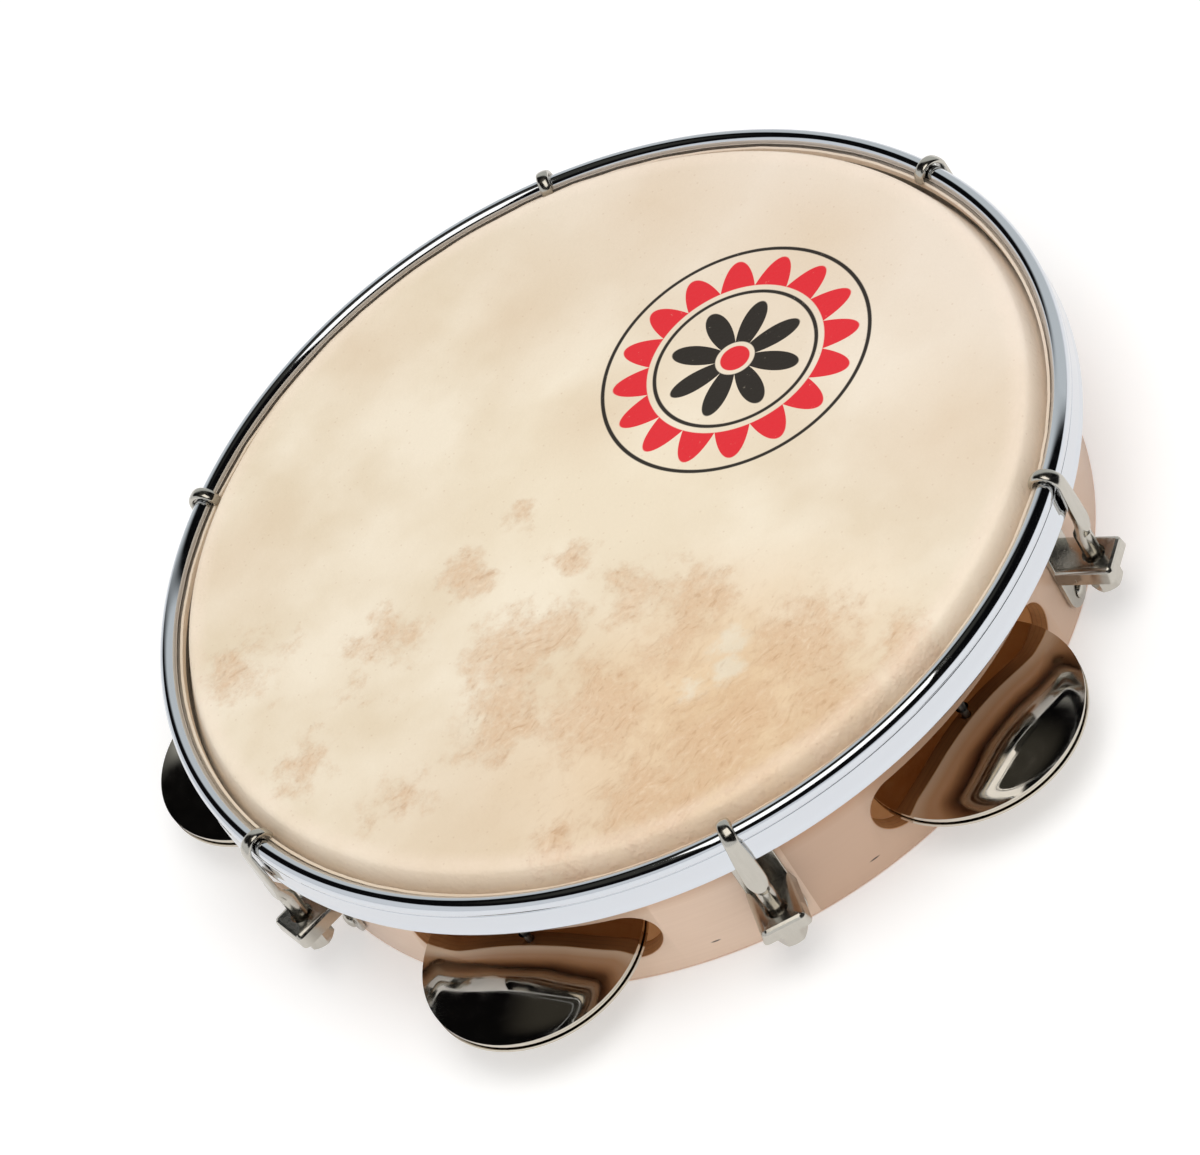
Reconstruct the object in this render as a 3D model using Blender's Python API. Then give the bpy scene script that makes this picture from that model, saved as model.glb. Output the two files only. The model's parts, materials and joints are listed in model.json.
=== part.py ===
"""Pandeiro: a ten inch wooden frame drum with five sets of jingles.

Units are metres and +Z points up. The drum lies on the bottom edge of its
shell with the skin on top. The origin is on the drum's axis at that edge.
"""

import math

import bmesh
import bpy
from mathutils import Matrix

# Clearances between pieces
SEAT_GAP = 0.0003          # between pieces that touch
HOOP_CLEARANCE = 0.0004    # between the wrapped skin and the hoop's skirt
ROD_CLEARANCE = 0.0008     # between a hook's rod and its hole in the bracket
NUT_FRONT_CLEARANCE = 0.0006   # between a nut's corner and the bracket's front lip
NUT_SIDE_CLEARANCE = 0.0010    # between a nut's flat and the bracket's side
JINGLE_CLEARANCE = 0.0006  # between a jingle's hole and its pin

# Wooden shell
SHELL_RADIUS = 0.1270
SHELL_WALL = 0.0055
SHELL_HEIGHT = 0.0554
SHELL_EDGE_CHAMFER = 0.0008
BEARING_ROUND = 0.0015
RING_SEGMENTS = 60
BEARING_STEPS = 2

# Slots for the jingles, one at each jingle angle
SLOT_LENGTH = 0.0775       # along the shell's outer face
SLOT_HEIGHT = 0.0180
SLOT_FLOOR = 0.0088
SLOT_END_STEPS = 6
SLOT_MIDDLE_STEPS = 8
JINGLE_ANGLES = (27.0, 86.5, 148.0, 211.4, 275.6)

# Jingles on their pin
PIN_DIAMETER = 0.0024
PIN_TOP = 0.0380
PIN_FOOT = 0.0010
PIN_SIDES = 10
JINGLE_RADIUS = 0.0330
JINGLE_RISE = 0.0055       # from the rim up to the crown
JINGLE_SHEET = 0.0008
RIM_FLANGE = 0.0050        # width of the flat margin round the dome
RIM_FLANGE_RISE = 0.0009
DOME_SHARES = (0.72, 0.36)     # of the dome's radius, where its curve has a ring
DAMPER_RADIUS = 0.0290
DAMPER_SHEET = 0.0012
JINGLE_SEGMENTS = 20

# Skin and the ring that it is wrapped round
SKIN_THICKNESS = 0.0008
FLESH_ROD = 0.0036
FLESH_ROD_SIDES = 6
WRAP_CLEARANCE = 0.0039    # between the shell and the wrapped ring
COLLAR_LENGTH = 0.0020     # upright part of the trimmed end
COLLAR_BELOW_BEAD = 0.0028
COLLAR_BEAD_GAP = 0.0007
WRAP_END_ANGLE = 105.0     # the wrap goes once round the ring and ends here
WRAP_STEPS = 6

# Metal hoop that pulls the skin down
HOOP_WALL = 0.0012
HOOP_DEPTH = 0.0121
BEAD_DIAMETER = 0.0052
HEAD_RISE = 0.0017         # the skin stands this far above the hoop
HOOP_FLARE = 0.00035
HOOP_FLARE_HEIGHT = 0.0014
HOOP_GROOVE = 0.0003
BEAD_START_ANGLE = 5.0
BEAD_STEPS = 8

# Tension hooks, one at each hook angle
HOOK_ANGLES = (-1.0, 55.5, 117.5, 179.0, 243.5, 300.0)
STRAP_THICKNESS = 0.0019
STRAP_TIP_WIDTH = 0.0034
STRAP_ARCH_WIDTH = 0.0050
STRAP_WIDTH = 0.0060
STRAP_CHAMFER = 0.0005
STRAP_TIP_ANGLE = 172.0
STRAP_ARCH_END = 20.0
ARCH_STEPS = 6
HOOK_TRAVEL = 0.0050       # a hook rises this far as its nut is slackened
ROD_DIAMETER = 0.0050
ROD_INSET = 0.0017         # from the strap's centre in to the rod's centre
NECK_LENGTH = 0.0060       # where the flat strap becomes the round rod
ROD_RECESS = 0.0006        # the rod ends this far inside its nut

# Tall hexagon nuts
NUT_ACROSS_FLATS = 0.0080
NUT_HEIGHT = 0.0105
NUT_CHAMFER = 0.0006

# Brackets that carry the hooks
SHEET = 0.0012
SHELF_TOP = 0.0222
LIP_HEIGHT = 0.0045
FLANGE_FLARE = 0.0010
SHELF_ROUND = 0.0010
ROD_HOLE_SIDES = 12
TAB_FOOT = 0.0024          # height of the plate's round foot
TAB_FOOT_STEPS = 6
PLATE_TOP = 0.0440
PLATE_CORNER = 0.0015
LOWER_RIVET_HEIGHT = 0.0068
UPPER_RIVET_HEIGHT = 0.0350

# Rivets
RIVET_DIAMETER = 0.0030
RIVET_HEAD_DIAMETER = 0.0052
RIVET_HEAD = 0.0012
RIVET_SEGMENTS = 8

# How the meshes are made
WELD_DISTANCE = 0.00001    # corners this close become one after a cut
SLIVER_SIDES = 3           # a cut can leave out a triangle too thin to see
SMOOTH_ANGLE = 35.0        # edges flatter than this are shaded smooth

# Sizes that follow from the ones above
BORE_RADIUS = SHELL_RADIUS - SHELL_WALL
PIN_CIRCLE = SHELL_RADIUS - SHELL_WALL / 2
FACET_DIP = SHELL_RADIUS * (1 - math.cos(math.pi / RING_SEGMENTS))
SKIN_TOP = SHELL_HEIGHT + SEAT_GAP + SKIN_THICKNESS
SKIN_CENTRE_Z = SKIN_TOP - SKIN_THICKNESS / 2
FLESH_CENTRE = SHELL_RADIUS + WRAP_CLEARANCE + SKIN_THICKNESS + SEAT_GAP + FLESH_ROD / 2
WRAP_RADIUS = FLESH_ROD / 2 + SEAT_GAP + SKIN_THICKNESS / 2
SKIRT_INNER = FLESH_CENTRE + WRAP_RADIUS + SKIN_THICKNESS / 2 + HOOP_CLEARANCE
SKIRT_OUTER = SKIRT_INNER + HOOP_WALL
BEAD_RADIUS = BEAD_DIAMETER / 2
BEAD_CENTRE = SKIRT_OUTER - BEAD_RADIUS
HOOP_TOP = SKIN_TOP - HEAD_RISE
BEAD_Z = HOOP_TOP - BEAD_RADIUS
HOOP_BOTTOM = HOOP_TOP - HOOP_DEPTH
BEAD_TO_FLESH = BEAD_RADIUS + SEAT_GAP + SKIN_THICKNESS / 2 + WRAP_RADIUS
FLESH_Z = BEAD_Z - math.sqrt(BEAD_TO_FLESH ** 2 - (BEAD_CENTRE - FLESH_CENTRE) ** 2)
STRAP_CENTRE = SKIRT_OUTER + HOOP_FLARE + SEAT_GAP + STRAP_THICKNESS / 2
ROD_CIRCLE = STRAP_CENTRE - ROD_INSET
SHELF_UNDERSIDE = SHELF_TOP - SHEET
NUT_TOP = SHELF_UNDERSIDE - SEAT_GAP
NUT_BOTTOM = NUT_TOP - NUT_HEIGHT
NUT_BORE_RADIUS = ROD_DIAMETER / 2 + SEAT_GAP
PLATE_INNER = SHELL_RADIUS + SEAT_GAP
PLATE_OUTER = PLATE_INNER + SHEET
NUT_CORNER_RADIUS = NUT_ACROSS_FLATS / 2 / math.cos(math.pi / 6)
SHELF_FRONT = ROD_CIRCLE + NUT_CORNER_RADIUS + NUT_FRONT_CLEARANCE + SHEET
BRACKET_HALF_WIDTH = NUT_ACROSS_FLATS / 2 + NUT_SIDE_CLEARANCE + SHEET
JINGLE_HOLE_RADIUS = PIN_DIAMETER / 2 + JINGLE_CLEARANCE
JINGLE_HEIGHT = JINGLE_RISE + JINGLE_SHEET
LOWER_JINGLE_TOP = SLOT_FLOOR + SEAT_GAP + JINGLE_HEIGHT
DAMPER_BOTTOM = LOWER_JINGLE_TOP + SEAT_GAP
UPPER_JINGLE_BOTTOM = DAMPER_BOTTOM + DAMPER_SHEET + SEAT_GAP


def clear_scene():
    for old in list(bpy.data.objects):
        bpy.data.objects.remove(old, do_unlink=True)


def material(name, colour, roughness, metallic):
    made = bpy.data.materials.new(name)
    made.use_nodes = True
    shader = made.node_tree.nodes["Principled BSDF"]
    shader.inputs["Base Color"].default_value = (*colour, 1.0)
    shader.inputs["Roughness"].default_value = roughness
    shader.inputs["Metallic"].default_value = metallic
    return made


def finish_mesh(name, bm):
    """Turn a bmesh into a mesh with its faces pointing out and round parts smooth."""
    bmesh.ops.recalc_face_normals(bm, faces=bm.faces)
    mesh = bpy.data.meshes.new(name)
    bm.to_mesh(mesh)
    bm.free()
    mesh.shade_smooth()
    mesh.set_sharp_from_angle(angle=math.radians(SMOOTH_ANGLE))
    return mesh


def add_piece(name, mesh, finish, parent=None, place=(0.0, 0.0, 0.0)):
    piece = bpy.data.objects.new(name, mesh)
    bpy.context.scene.collection.objects.link(piece)
    piece.parent = parent
    piece.location = place
    if not mesh.materials:
        mesh.materials.append(finish)
    return piece


def add_station(name, angle, radius):
    """An empty on the rim whose X axis points away from the drum's axis."""
    station = bpy.data.objects.new(name, None)
    bpy.context.scene.collection.objects.link(station)
    turn = math.radians(angle)
    station.location = (radius * math.cos(turn), radius * math.sin(turn), 0.0)
    station.rotation_euler = (0.0, 0.0, turn)
    return station


def arc(centre, radius, start, end, steps):
    """Points on an arc in a section, from start to end in degrees."""
    points = []
    for step in range(steps + 1):
        turn = math.radians(start + (end - start) * step / steps)
        points.append((centre[0] + radius * math.cos(turn), centre[1] + radius * math.sin(turn)))
    return points


def bridge(bm, ring_a, ring_b):
    """Join two rings of vertices with faces; a ring of one vertex is a pole."""
    count = max(len(ring_a), len(ring_b))
    for i in range(count):
        j = (i + 1) % count
        corners = []
        for vertex in (ring_a[i % len(ring_a)], ring_a[j % len(ring_a)],
                       ring_b[j % len(ring_b)], ring_b[i % len(ring_b)]):
            if vertex not in corners:
                corners.append(vertex)
        bm.faces.new(corners)


def turned_bmesh(profile, segments):
    """Turn a section of (radius, height) points round the Z axis.

    A section that touches the axis is open there, and any other is closed.
    """
    bm = bmesh.new()
    rings = []
    for radius, height in profile:
        if radius == 0.0:
            rings.append([bm.verts.new((0.0, 0.0, height))])
            continue
        ring = []
        for step in range(segments):
            turn = 2 * math.pi * step / segments
            ring.append(bm.verts.new((radius * math.cos(turn), radius * math.sin(turn), height)))
        rings.append(ring)
    for ring_a, ring_b in zip(rings, rings[1:]):
        bridge(bm, ring_a, ring_b)
    if profile[0][0] > 0.0:
        bridge(bm, rings[-1], rings[0])
    return bm


def turned_mesh(name, profile, segments):
    return finish_mesh(name, turned_bmesh(profile, segments))


def prism_bmesh(outline, low, high):
    """Extrude an outline of (Y, Z) points from X = low to X = high."""
    bm = bmesh.new()
    back = [bm.verts.new((low, y, z)) for y, z in outline]
    front = [bm.verts.new((high, y, z)) for y, z in outline]
    bm.faces.new(back)
    bm.faces.new(front)
    bridge(bm, back, front)
    return bm


def block_bmesh(inner, outer, bottom, top, half_bottom, half_top):
    """A block from X = inner to outer whose sides lean from half_bottom to half_top."""
    bm = bmesh.new()
    rings = []
    for height, half in ((bottom, half_bottom), (top, half_top)):
        corners = ((inner, -half), (outer, -half), (outer, half), (inner, half))
        rings.append([bm.verts.new((x, y, height)) for x, y in corners])
    bm.faces.new(rings[0])
    bm.faces.new(rings[1])
    bridge(bm, rings[0], rings[1])
    return bm


def join_bmeshes(parts):
    """One bmesh that holds copies of several separate ones, each moved by its matrix."""
    whole = bmesh.new()
    for part, place in parts:
        moved = {}
        for vertex in part.verts:
            moved[vertex] = whole.verts.new(place @ vertex.co)
        for face in part.faces:
            whole.faces.new([moved[vertex] for vertex in face.verts])
        part.free()
    return whole


def boolean_mesh(name, mesh, operation, tool_bm):
    """The mesh after one exact Boolean with a tool, which is then deleted."""
    body = bpy.data.objects.new(name, mesh)
    tool = bpy.data.objects.new(name + "_tool", finish_mesh(name + "_tool", tool_bm))
    for scratch in (body, tool):
        bpy.context.scene.collection.objects.link(scratch)
    cut = body.modifiers.new("cut", "BOOLEAN")
    cut.operation = operation
    cut.solver = "EXACT"
    cut.object = tool
    depsgraph = bpy.context.evaluated_depsgraph_get()
    result = bmesh.new()
    result.from_object(body, depsgraph)
    bpy.data.objects.remove(body, do_unlink=True)
    bpy.data.objects.remove(tool, do_unlink=True)
    bmesh.ops.remove_doubles(result, verts=result.verts, dist=WELD_DISTANCE)
    bmesh.ops.dissolve_degenerate(result, edges=result.edges, dist=WELD_DISTANCE)
    bmesh.ops.holes_fill(result, edges=result.edges, sides=SLIVER_SIDES)
    return finish_mesh(name, result)


def post_bmesh(radius, bottom, top, segments):
    """An upright round post, used for pins and as a drill."""
    return turned_bmesh([(0.0, bottom), (radius, bottom), (radius, top), (0.0, top)], segments)


def radial_place(angle, height):
    """A matrix that lays an upright piece along the radius at an angle and height."""
    return (Matrix.Translation((0.0, 0.0, height))
            @ Matrix.Rotation(math.radians(angle), 4, "Z")
            @ Matrix.Rotation(math.pi / 2, 4, "Y"))


# Wooden shell

def slot_outline():
    """Pairs of upper and lower edge points as (arc length, low Z, high Z)."""
    end_radius = SLOT_HEIGHT / 2
    middle_z = SLOT_FLOOR + end_radius
    straight = SLOT_LENGTH / 2 - end_radius
    rows = []
    for step in range(SLOT_END_STEPS + 1):
        turn = math.pi / 2 * step / SLOT_END_STEPS
        along = straight + end_radius * math.cos(turn)
        rise = end_radius * math.sin(turn)
        rows.append((-along, middle_z - rise, middle_z + rise))
    for step in range(1, SLOT_MIDDLE_STEPS):
        along = -straight + 2 * straight * step / SLOT_MIDDLE_STEPS
        rows.append((along, middle_z - end_radius, middle_z + end_radius))
    ends = [(-along, low, high) for along, low, high in rows[:SLOT_END_STEPS + 1]]
    return rows + ends[::-1]


def slot_cutter(angle):
    """A curved block with round ends that cuts one slot square to the shell."""
    bm = bmesh.new()
    walls = []
    for radius in (BORE_RADIUS - SHELL_WALL, SHELL_RADIUS + SHELL_WALL):
        rows = []
        for along, low, high in slot_outline():
            turn = math.radians(angle) + along / SHELL_RADIUS
            x = radius * math.cos(turn)
            y = radius * math.sin(turn)
            row = [bm.verts.new((x, y, low))]
            if high > low:
                row.append(bm.verts.new((x, y, high)))
            rows.append(row)
        walls.append(rows)
        for left, right in zip(rows, rows[1:]):
            face = [left[0], right[0]] + right[1:] + left[1:]
            bm.faces.new(face)
    for side in (0, -1):
        inner = [row[side] for row in walls[0]]
        outer = [row[side] for row in walls[1]]
        for i in range(len(inner) - 1):
            bm.faces.new((inner[i], inner[i + 1], outer[i + 1], outer[i]))
    return bm


def shell_mesh():
    edge = SHELL_EDGE_CHAMFER
    bearing = arc((SHELL_RADIUS - BEARING_ROUND, SHELL_HEIGHT - BEARING_ROUND),
                  BEARING_ROUND, 0.0, 90.0, BEARING_STEPS)
    profile = [(BORE_RADIUS + edge, 0.0), (SHELL_RADIUS - edge, 0.0), (SHELL_RADIUS, edge)]
    profile += bearing
    profile += [(BORE_RADIUS + BEARING_ROUND, SHELL_HEIGHT),
                (BORE_RADIUS, SHELL_HEIGHT - BEARING_ROUND), (BORE_RADIUS, edge)]
    mesh = turned_mesh("shell", profile, RING_SEGMENTS)
    still = Matrix.Identity(4)
    slots = join_bmeshes([(slot_cutter(angle), still) for angle in JINGLE_ANGLES])
    mesh = boolean_mesh("shell", mesh, "DIFFERENCE", slots)
    pin_holes = []
    for angle in JINGLE_ANGLES:
        turn = math.radians(angle)
        place = Matrix.Translation((PIN_CIRCLE * math.cos(turn), PIN_CIRCLE * math.sin(turn), 0.0))
        drill = post_bmesh(PIN_DIAMETER / 2 + SEAT_GAP, -edge, PIN_TOP + SEAT_GAP, PIN_SIDES)
        pin_holes.append((drill, place))
    mesh = boolean_mesh("shell", mesh, "DIFFERENCE", join_bmeshes(pin_holes))
    rivet_holes = []
    for angle in HOOK_ANGLES:
        for height in (LOWER_RIVET_HEIGHT, UPPER_RIVET_HEIGHT):
            drill = post_bmesh(RIVET_DIAMETER / 2 + SEAT_GAP, BORE_RADIUS - SHELL_WALL,
                               SHELL_RADIUS + SHELL_WALL, RIVET_SEGMENTS)
            rivet_holes.append((drill, radial_place(angle, height)))
    return boolean_mesh("shell", mesh, "DIFFERENCE", join_bmeshes(rivet_holes))


# Skin, wrapped ring and hoop

def ribbon(path, thickness):
    """A closed section that follows a path of (radius, height) points."""
    left = []
    right = []
    for i, (radius, height) in enumerate(path):
        before = path[max(i - 1, 0)]
        after = path[min(i + 1, len(path) - 1)]
        run_in = (radius - before[0], height - before[1])
        run_out = (after[0] - radius, after[1] - height)
        if i == 0:
            run_in = run_out
        if i == len(path) - 1:
            run_out = run_in
        size_in = math.hypot(*run_in)
        size_out = math.hypot(*run_out)
        normal_in = (-run_in[1] / size_in, run_in[0] / size_in)
        normal_out = (-run_out[1] / size_out, run_out[0] / size_out)
        normal = (normal_in[0] + normal_out[0], normal_in[1] + normal_out[1])
        square = normal[0] ** 2 + normal[1] ** 2
        shift = thickness / square
        offset = (normal[0] * shift, normal[1] * shift)
        left.append((max(radius + offset[0], 0.0), height + offset[1]))
        right.append((max(radius - offset[0], 0.0), height - offset[1]))
    return left + right[::-1]


def skin_path():
    """From the centre over the shell's edge, round the ring and up to the collar."""
    bend_centre = (SHELL_RADIUS - BEARING_ROUND, SHELL_HEIGHT - BEARING_ROUND)
    bend_radius = SKIN_CENTRE_Z - bend_centre[1]
    across = FLESH_CENTRE - bend_centre[0]
    down = bend_centre[1] - FLESH_Z
    lean = math.asin((bend_radius + WRAP_RADIUS) / math.hypot(across, down))
    fall = math.degrees(math.atan2(down, across) + lean)
    leave_angle = 90.0 - fall
    path = [(0.0, SKIN_CENTRE_Z)]
    path += arc(bend_centre, bend_radius, 90.0, leave_angle, BEARING_STEPS)
    path += arc((FLESH_CENTRE, FLESH_Z), WRAP_RADIUS, leave_angle + 180.0, 360.0 + WRAP_END_ANGLE,
                WRAP_STEPS)
    collar_radius = BEAD_CENTRE - BEAD_RADIUS - COLLAR_BEAD_GAP - SKIN_THICKNESS / 2
    collar_top = HOOP_TOP - COLLAR_BELOW_BEAD
    path += [(collar_radius, collar_top - COLLAR_LENGTH), (collar_radius, collar_top)]
    return path


def skin_mesh():
    return turned_mesh("drum_skin", ribbon(skin_path(), SKIN_THICKNESS), RING_SEGMENTS)


def flesh_hoop_mesh():
    profile = arc((FLESH_CENTRE, FLESH_Z), FLESH_ROD / 2, 0.0, 360.0, FLESH_ROD_SIDES)
    return turned_mesh("flesh_hoop", profile[:-1], RING_SEGMENTS)


def hoop_profile():
    flare_top = HOOP_BOTTOM + HOOP_FLARE_HEIGHT
    groove_z = BEAD_Z - BEAD_RADIUS / 2
    joint_angle = -math.degrees(math.acos((SKIRT_INNER - BEAD_CENTRE) / BEAD_RADIUS))
    profile = [(SKIRT_INNER, HOOP_BOTTOM),
               (SKIRT_OUTER + HOOP_FLARE, HOOP_BOTTOM),
               (SKIRT_OUTER + HOOP_FLARE, flare_top - HOOP_FLARE),
               (SKIRT_OUTER, flare_top),
               (SKIRT_OUTER, groove_z - HOOP_GROOVE * 2),
               (SKIRT_OUTER - HOOP_GROOVE, groove_z),
               (SKIRT_OUTER - HOOP_GROOVE / 3, groove_z + HOOP_GROOVE * 2)]
    profile += arc((BEAD_CENTRE, BEAD_Z), BEAD_RADIUS, BEAD_START_ANGLE, joint_angle + 360.0,
                   BEAD_STEPS)
    return profile


def hoop_mesh():
    return turned_mesh("counterhoop", hoop_profile(), RING_SEGMENTS)


# Tension hooks and nuts

def chamfered_section(width, thickness, chamfer):
    """Eight corners of a rectangle with cut corners, as (sideways, outward)."""
    half_width = width / 2
    half = thickness / 2
    return [(half_width, half - chamfer), (half_width - chamfer, half),
            (chamfer - half_width, half), (-half_width, half - chamfer),
            (-half_width, chamfer - half), (chamfer - half_width, -half),
            (half_width - chamfer, -half), (half_width, chamfer - half)]


def hook_stations():
    """Centre line and section of the hook, from its tip down to the rod's end.

    X is measured out from the rod's axis. The strap stays straight far enough
    below the hoop that its neck clears the hoop's edge when the hook has risen.
    """
    arch_radius = BEAD_RADIUS + SEAT_GAP + STRAP_THICKNESS / 2
    rod_chamfer = ROD_DIAMETER * (1 - math.sqrt(0.5))
    strap_x = STRAP_CENTRE - ROD_CIRCLE
    bead = (BEAD_CENTRE - ROD_CIRCLE, BEAD_Z)
    arch = arc(bead, arch_radius, STRAP_TIP_ANGLE, STRAP_ARCH_END, ARCH_STEPS)
    rows = []
    for i, (x, z) in enumerate(arch):
        width = STRAP_TIP_WIDTH if i == 0 else STRAP_ARCH_WIDTH
        rows.append((x, z, width, STRAP_THICKNESS, STRAP_CHAMFER))
    rows.append((strap_x, BEAD_Z - BEAD_RADIUS, STRAP_WIDTH, STRAP_THICKNESS, STRAP_CHAMFER))
    strap_end = HOOP_BOTTOM - HOOK_TRAVEL - SEAT_GAP
    rows.append((strap_x, strap_end, STRAP_WIDTH, STRAP_THICKNESS, STRAP_CHAMFER))
    neck_top = strap_end - NECK_LENGTH / 3
    neck_middle = strap_end - NECK_LENGTH * 2 / 3
    rod_top = strap_end - NECK_LENGTH
    rows.append((strap_x * 3 / 4, neck_top, STRAP_WIDTH, STRAP_THICKNESS * 4 / 3, STRAP_CHAMFER))
    rows.append((strap_x / 4, neck_middle, (STRAP_WIDTH + ROD_DIAMETER) / 2,
                 ROD_DIAMETER * 3 / 4, (STRAP_CHAMFER + rod_chamfer) / 2))
    rows.append((0.0, rod_top, ROD_DIAMETER, ROD_DIAMETER, rod_chamfer))
    rows.append((0.0, NUT_BOTTOM + ROD_RECESS, ROD_DIAMETER, ROD_DIAMETER, rod_chamfer))
    return rows


def hook_mesh():
    bm = bmesh.new()
    rows = hook_stations()
    rings = []
    for i, (x, z, width, thickness, chamfer) in enumerate(rows):
        before = rows[max(i - 1, 0)]
        after = rows[min(i + 1, len(rows) - 1)]
        run = (after[0] - before[0], after[1] - before[1])
        size = math.hypot(*run)
        outward = (-run[1] / size, run[0] / size)
        ring = []
        for sideways, out in chamfered_section(width, thickness, chamfer):
            ring.append(bm.verts.new((x + outward[0] * out, sideways, z + outward[1] * out)))
        rings.append(ring)
    for ring_a, ring_b in zip(rings, rings[1:]):
        bridge(bm, ring_a, ring_b)
    bm.faces.new(rings[0])
    bm.faces.new(rings[-1])
    return finish_mesh("tension_hook", bm)


def nut_mesh():
    """A hexagon nut with chamfered ends and a bore, standing on Z = 0."""
    bm = bmesh.new()
    flat = NUT_ACROSS_FLATS / 2
    face_radius = flat - NUT_CHAMFER / 2

    def ring(height, hexagon, radius):
        vertices = []
        for step in range(12):
            turn = math.pi / 6 * step
            reach = radius
            if hexagon and step % 2 == 0:
                reach = radius / math.cos(math.pi / 6)
            vertices.append(bm.verts.new((reach * math.cos(turn), reach * math.sin(turn), height)))
        return vertices

    rings = [ring(0.0, False, NUT_BORE_RADIUS), ring(0.0, False, face_radius),
             ring(NUT_CHAMFER, True, flat), ring(NUT_HEIGHT - NUT_CHAMFER, True, flat),
             ring(NUT_HEIGHT, False, face_radius), ring(NUT_HEIGHT, False, NUT_BORE_RADIUS)]
    for ring_a, ring_b in zip(rings, rings[1:] + rings[:1]):
        bridge(bm, ring_a, ring_b)
    return finish_mesh("tension_nut", bm)


# Brackets and rivets

def plate_outline():
    """The bracket's back plate, seen along the radius: a round foot and cut top corners."""
    half = BRACKET_HALF_WIDTH - SEAT_GAP
    foot = arc((0.0, TAB_FOOT + half), half, 180.0, 360.0, TAB_FOOT_STEPS)
    return foot + [(half, PLATE_TOP - PLATE_CORNER), (half - PLATE_CORNER, PLATE_TOP),
                   (PLATE_CORNER - half, PLATE_TOP), (-half, PLATE_TOP - PLATE_CORNER)]


def bracket_mesh():
    """One bracket, with X measured from the drum's axis."""
    plate = finish_mesh("bracket", prism_bmesh(plate_outline(), PLATE_INNER, PLATE_OUTER))
    half = BRACKET_HALF_WIDTH
    lip_bottom = SHELF_TOP - LIP_HEIGHT
    pan = block_bmesh(PLATE_INNER + SHEET / 2, SHELF_FRONT, lip_bottom, SHELF_TOP,
                      half + FLANGE_FLARE, half)
    front_edge = []
    for edge in pan.edges:
        if all(v.co.x > SHELF_FRONT - SEAT_GAP and v.co.z > lip_bottom + SEAT_GAP for v in edge.verts):
            front_edge.append(edge)
    bmesh.ops.bevel(pan, geom=front_edge, offset=SHELF_ROUND, segments=2, profile=0.5,
                    affect="EDGES")
    mesh = boolean_mesh("bracket", plate, "UNION", pan)
    hollow = block_bmesh(PLATE_OUTER, SHELF_FRONT - SHEET, lip_bottom - SHEET, SHELF_UNDERSIDE,
                         half + FLANGE_FLARE - SHEET, half - SHEET)
    mesh = boolean_mesh("bracket", mesh, "DIFFERENCE", hollow)
    hole = post_bmesh(ROD_DIAMETER / 2 + ROD_CLEARANCE, SHELF_UNDERSIDE - SHEET,
                      SHELF_TOP + SHEET, ROD_HOLE_SIDES)
    drills = [(hole, Matrix.Translation((ROD_CIRCLE, 0.0, 0.0)))]
    for height in (LOWER_RIVET_HEIGHT, UPPER_RIVET_HEIGHT):
        drill = post_bmesh(RIVET_DIAMETER / 2 + SEAT_GAP, PLATE_INNER - SHEET,
                           PLATE_OUTER + SHEET, RIVET_SEGMENTS)
        drills.append((drill, radial_place(0.0, height)))
    return boolean_mesh("bracket", mesh, "DIFFERENCE", join_bmeshes(drills))


def rivet_mesh():
    """A rivet along X: a flat head inside the shell and a domed one on the bracket."""
    shank = RIVET_DIAMETER / 2
    head = RIVET_HEAD_DIAMETER / 2
    inner_seat = BORE_RADIUS - FACET_DIP - SEAT_GAP
    outer_seat = PLATE_OUTER + SEAT_GAP
    profile = [(0.0, inner_seat - RIVET_HEAD), (head * 3 / 4, inner_seat - RIVET_HEAD),
               (head, inner_seat), (shank, inner_seat), (shank, outer_seat), (head, outer_seat),
               (head * 3 / 4, outer_seat + RIVET_HEAD * 2 / 3), (0.0, outer_seat + RIVET_HEAD)]
    bm = turned_bmesh(profile, RIVET_SEGMENTS)
    bmesh.ops.rotate(bm, verts=bm.verts, matrix=Matrix.Rotation(math.pi / 2, 3, "Y"))
    return finish_mesh("bracket_rivet", bm)


# Jingles and pins

def jingle_mesh(name, upward):
    """A domed jingle with a flat margin; its lowest point is at Z = 0."""
    dome = JINGLE_RADIUS - RIM_FLANGE
    line = [(JINGLE_RADIUS, 0.0), (dome, RIM_FLANGE_RISE)]
    for share in DOME_SHARES:
        rise = JINGLE_RISE - RIM_FLANGE_RISE
        line.append((dome * share, RIM_FLANGE_RISE + rise * (1 - share ** 2)))
    line.append((JINGLE_HOLE_RADIUS, JINGLE_RISE))
    outer = [(radius, height + JINGLE_SHEET) for radius, height in line]
    profile = outer + line[::-1]
    if not upward:
        profile = [(radius, JINGLE_HEIGHT - height) for radius, height in profile]
    return turned_mesh(name, profile, JINGLE_SEGMENTS)


def damper_mesh():
    profile = [(JINGLE_HOLE_RADIUS, 0.0), (DAMPER_RADIUS, 0.0),
               (DAMPER_RADIUS, DAMPER_SHEET), (JINGLE_HOLE_RADIUS, DAMPER_SHEET)]
    return turned_mesh("jingle_damper", profile, JINGLE_SEGMENTS)


def pin_mesh():
    return finish_mesh("jingle_pin", post_bmesh(PIN_DIAMETER / 2, PIN_FOOT, PIN_TOP, PIN_SIDES))


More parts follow.
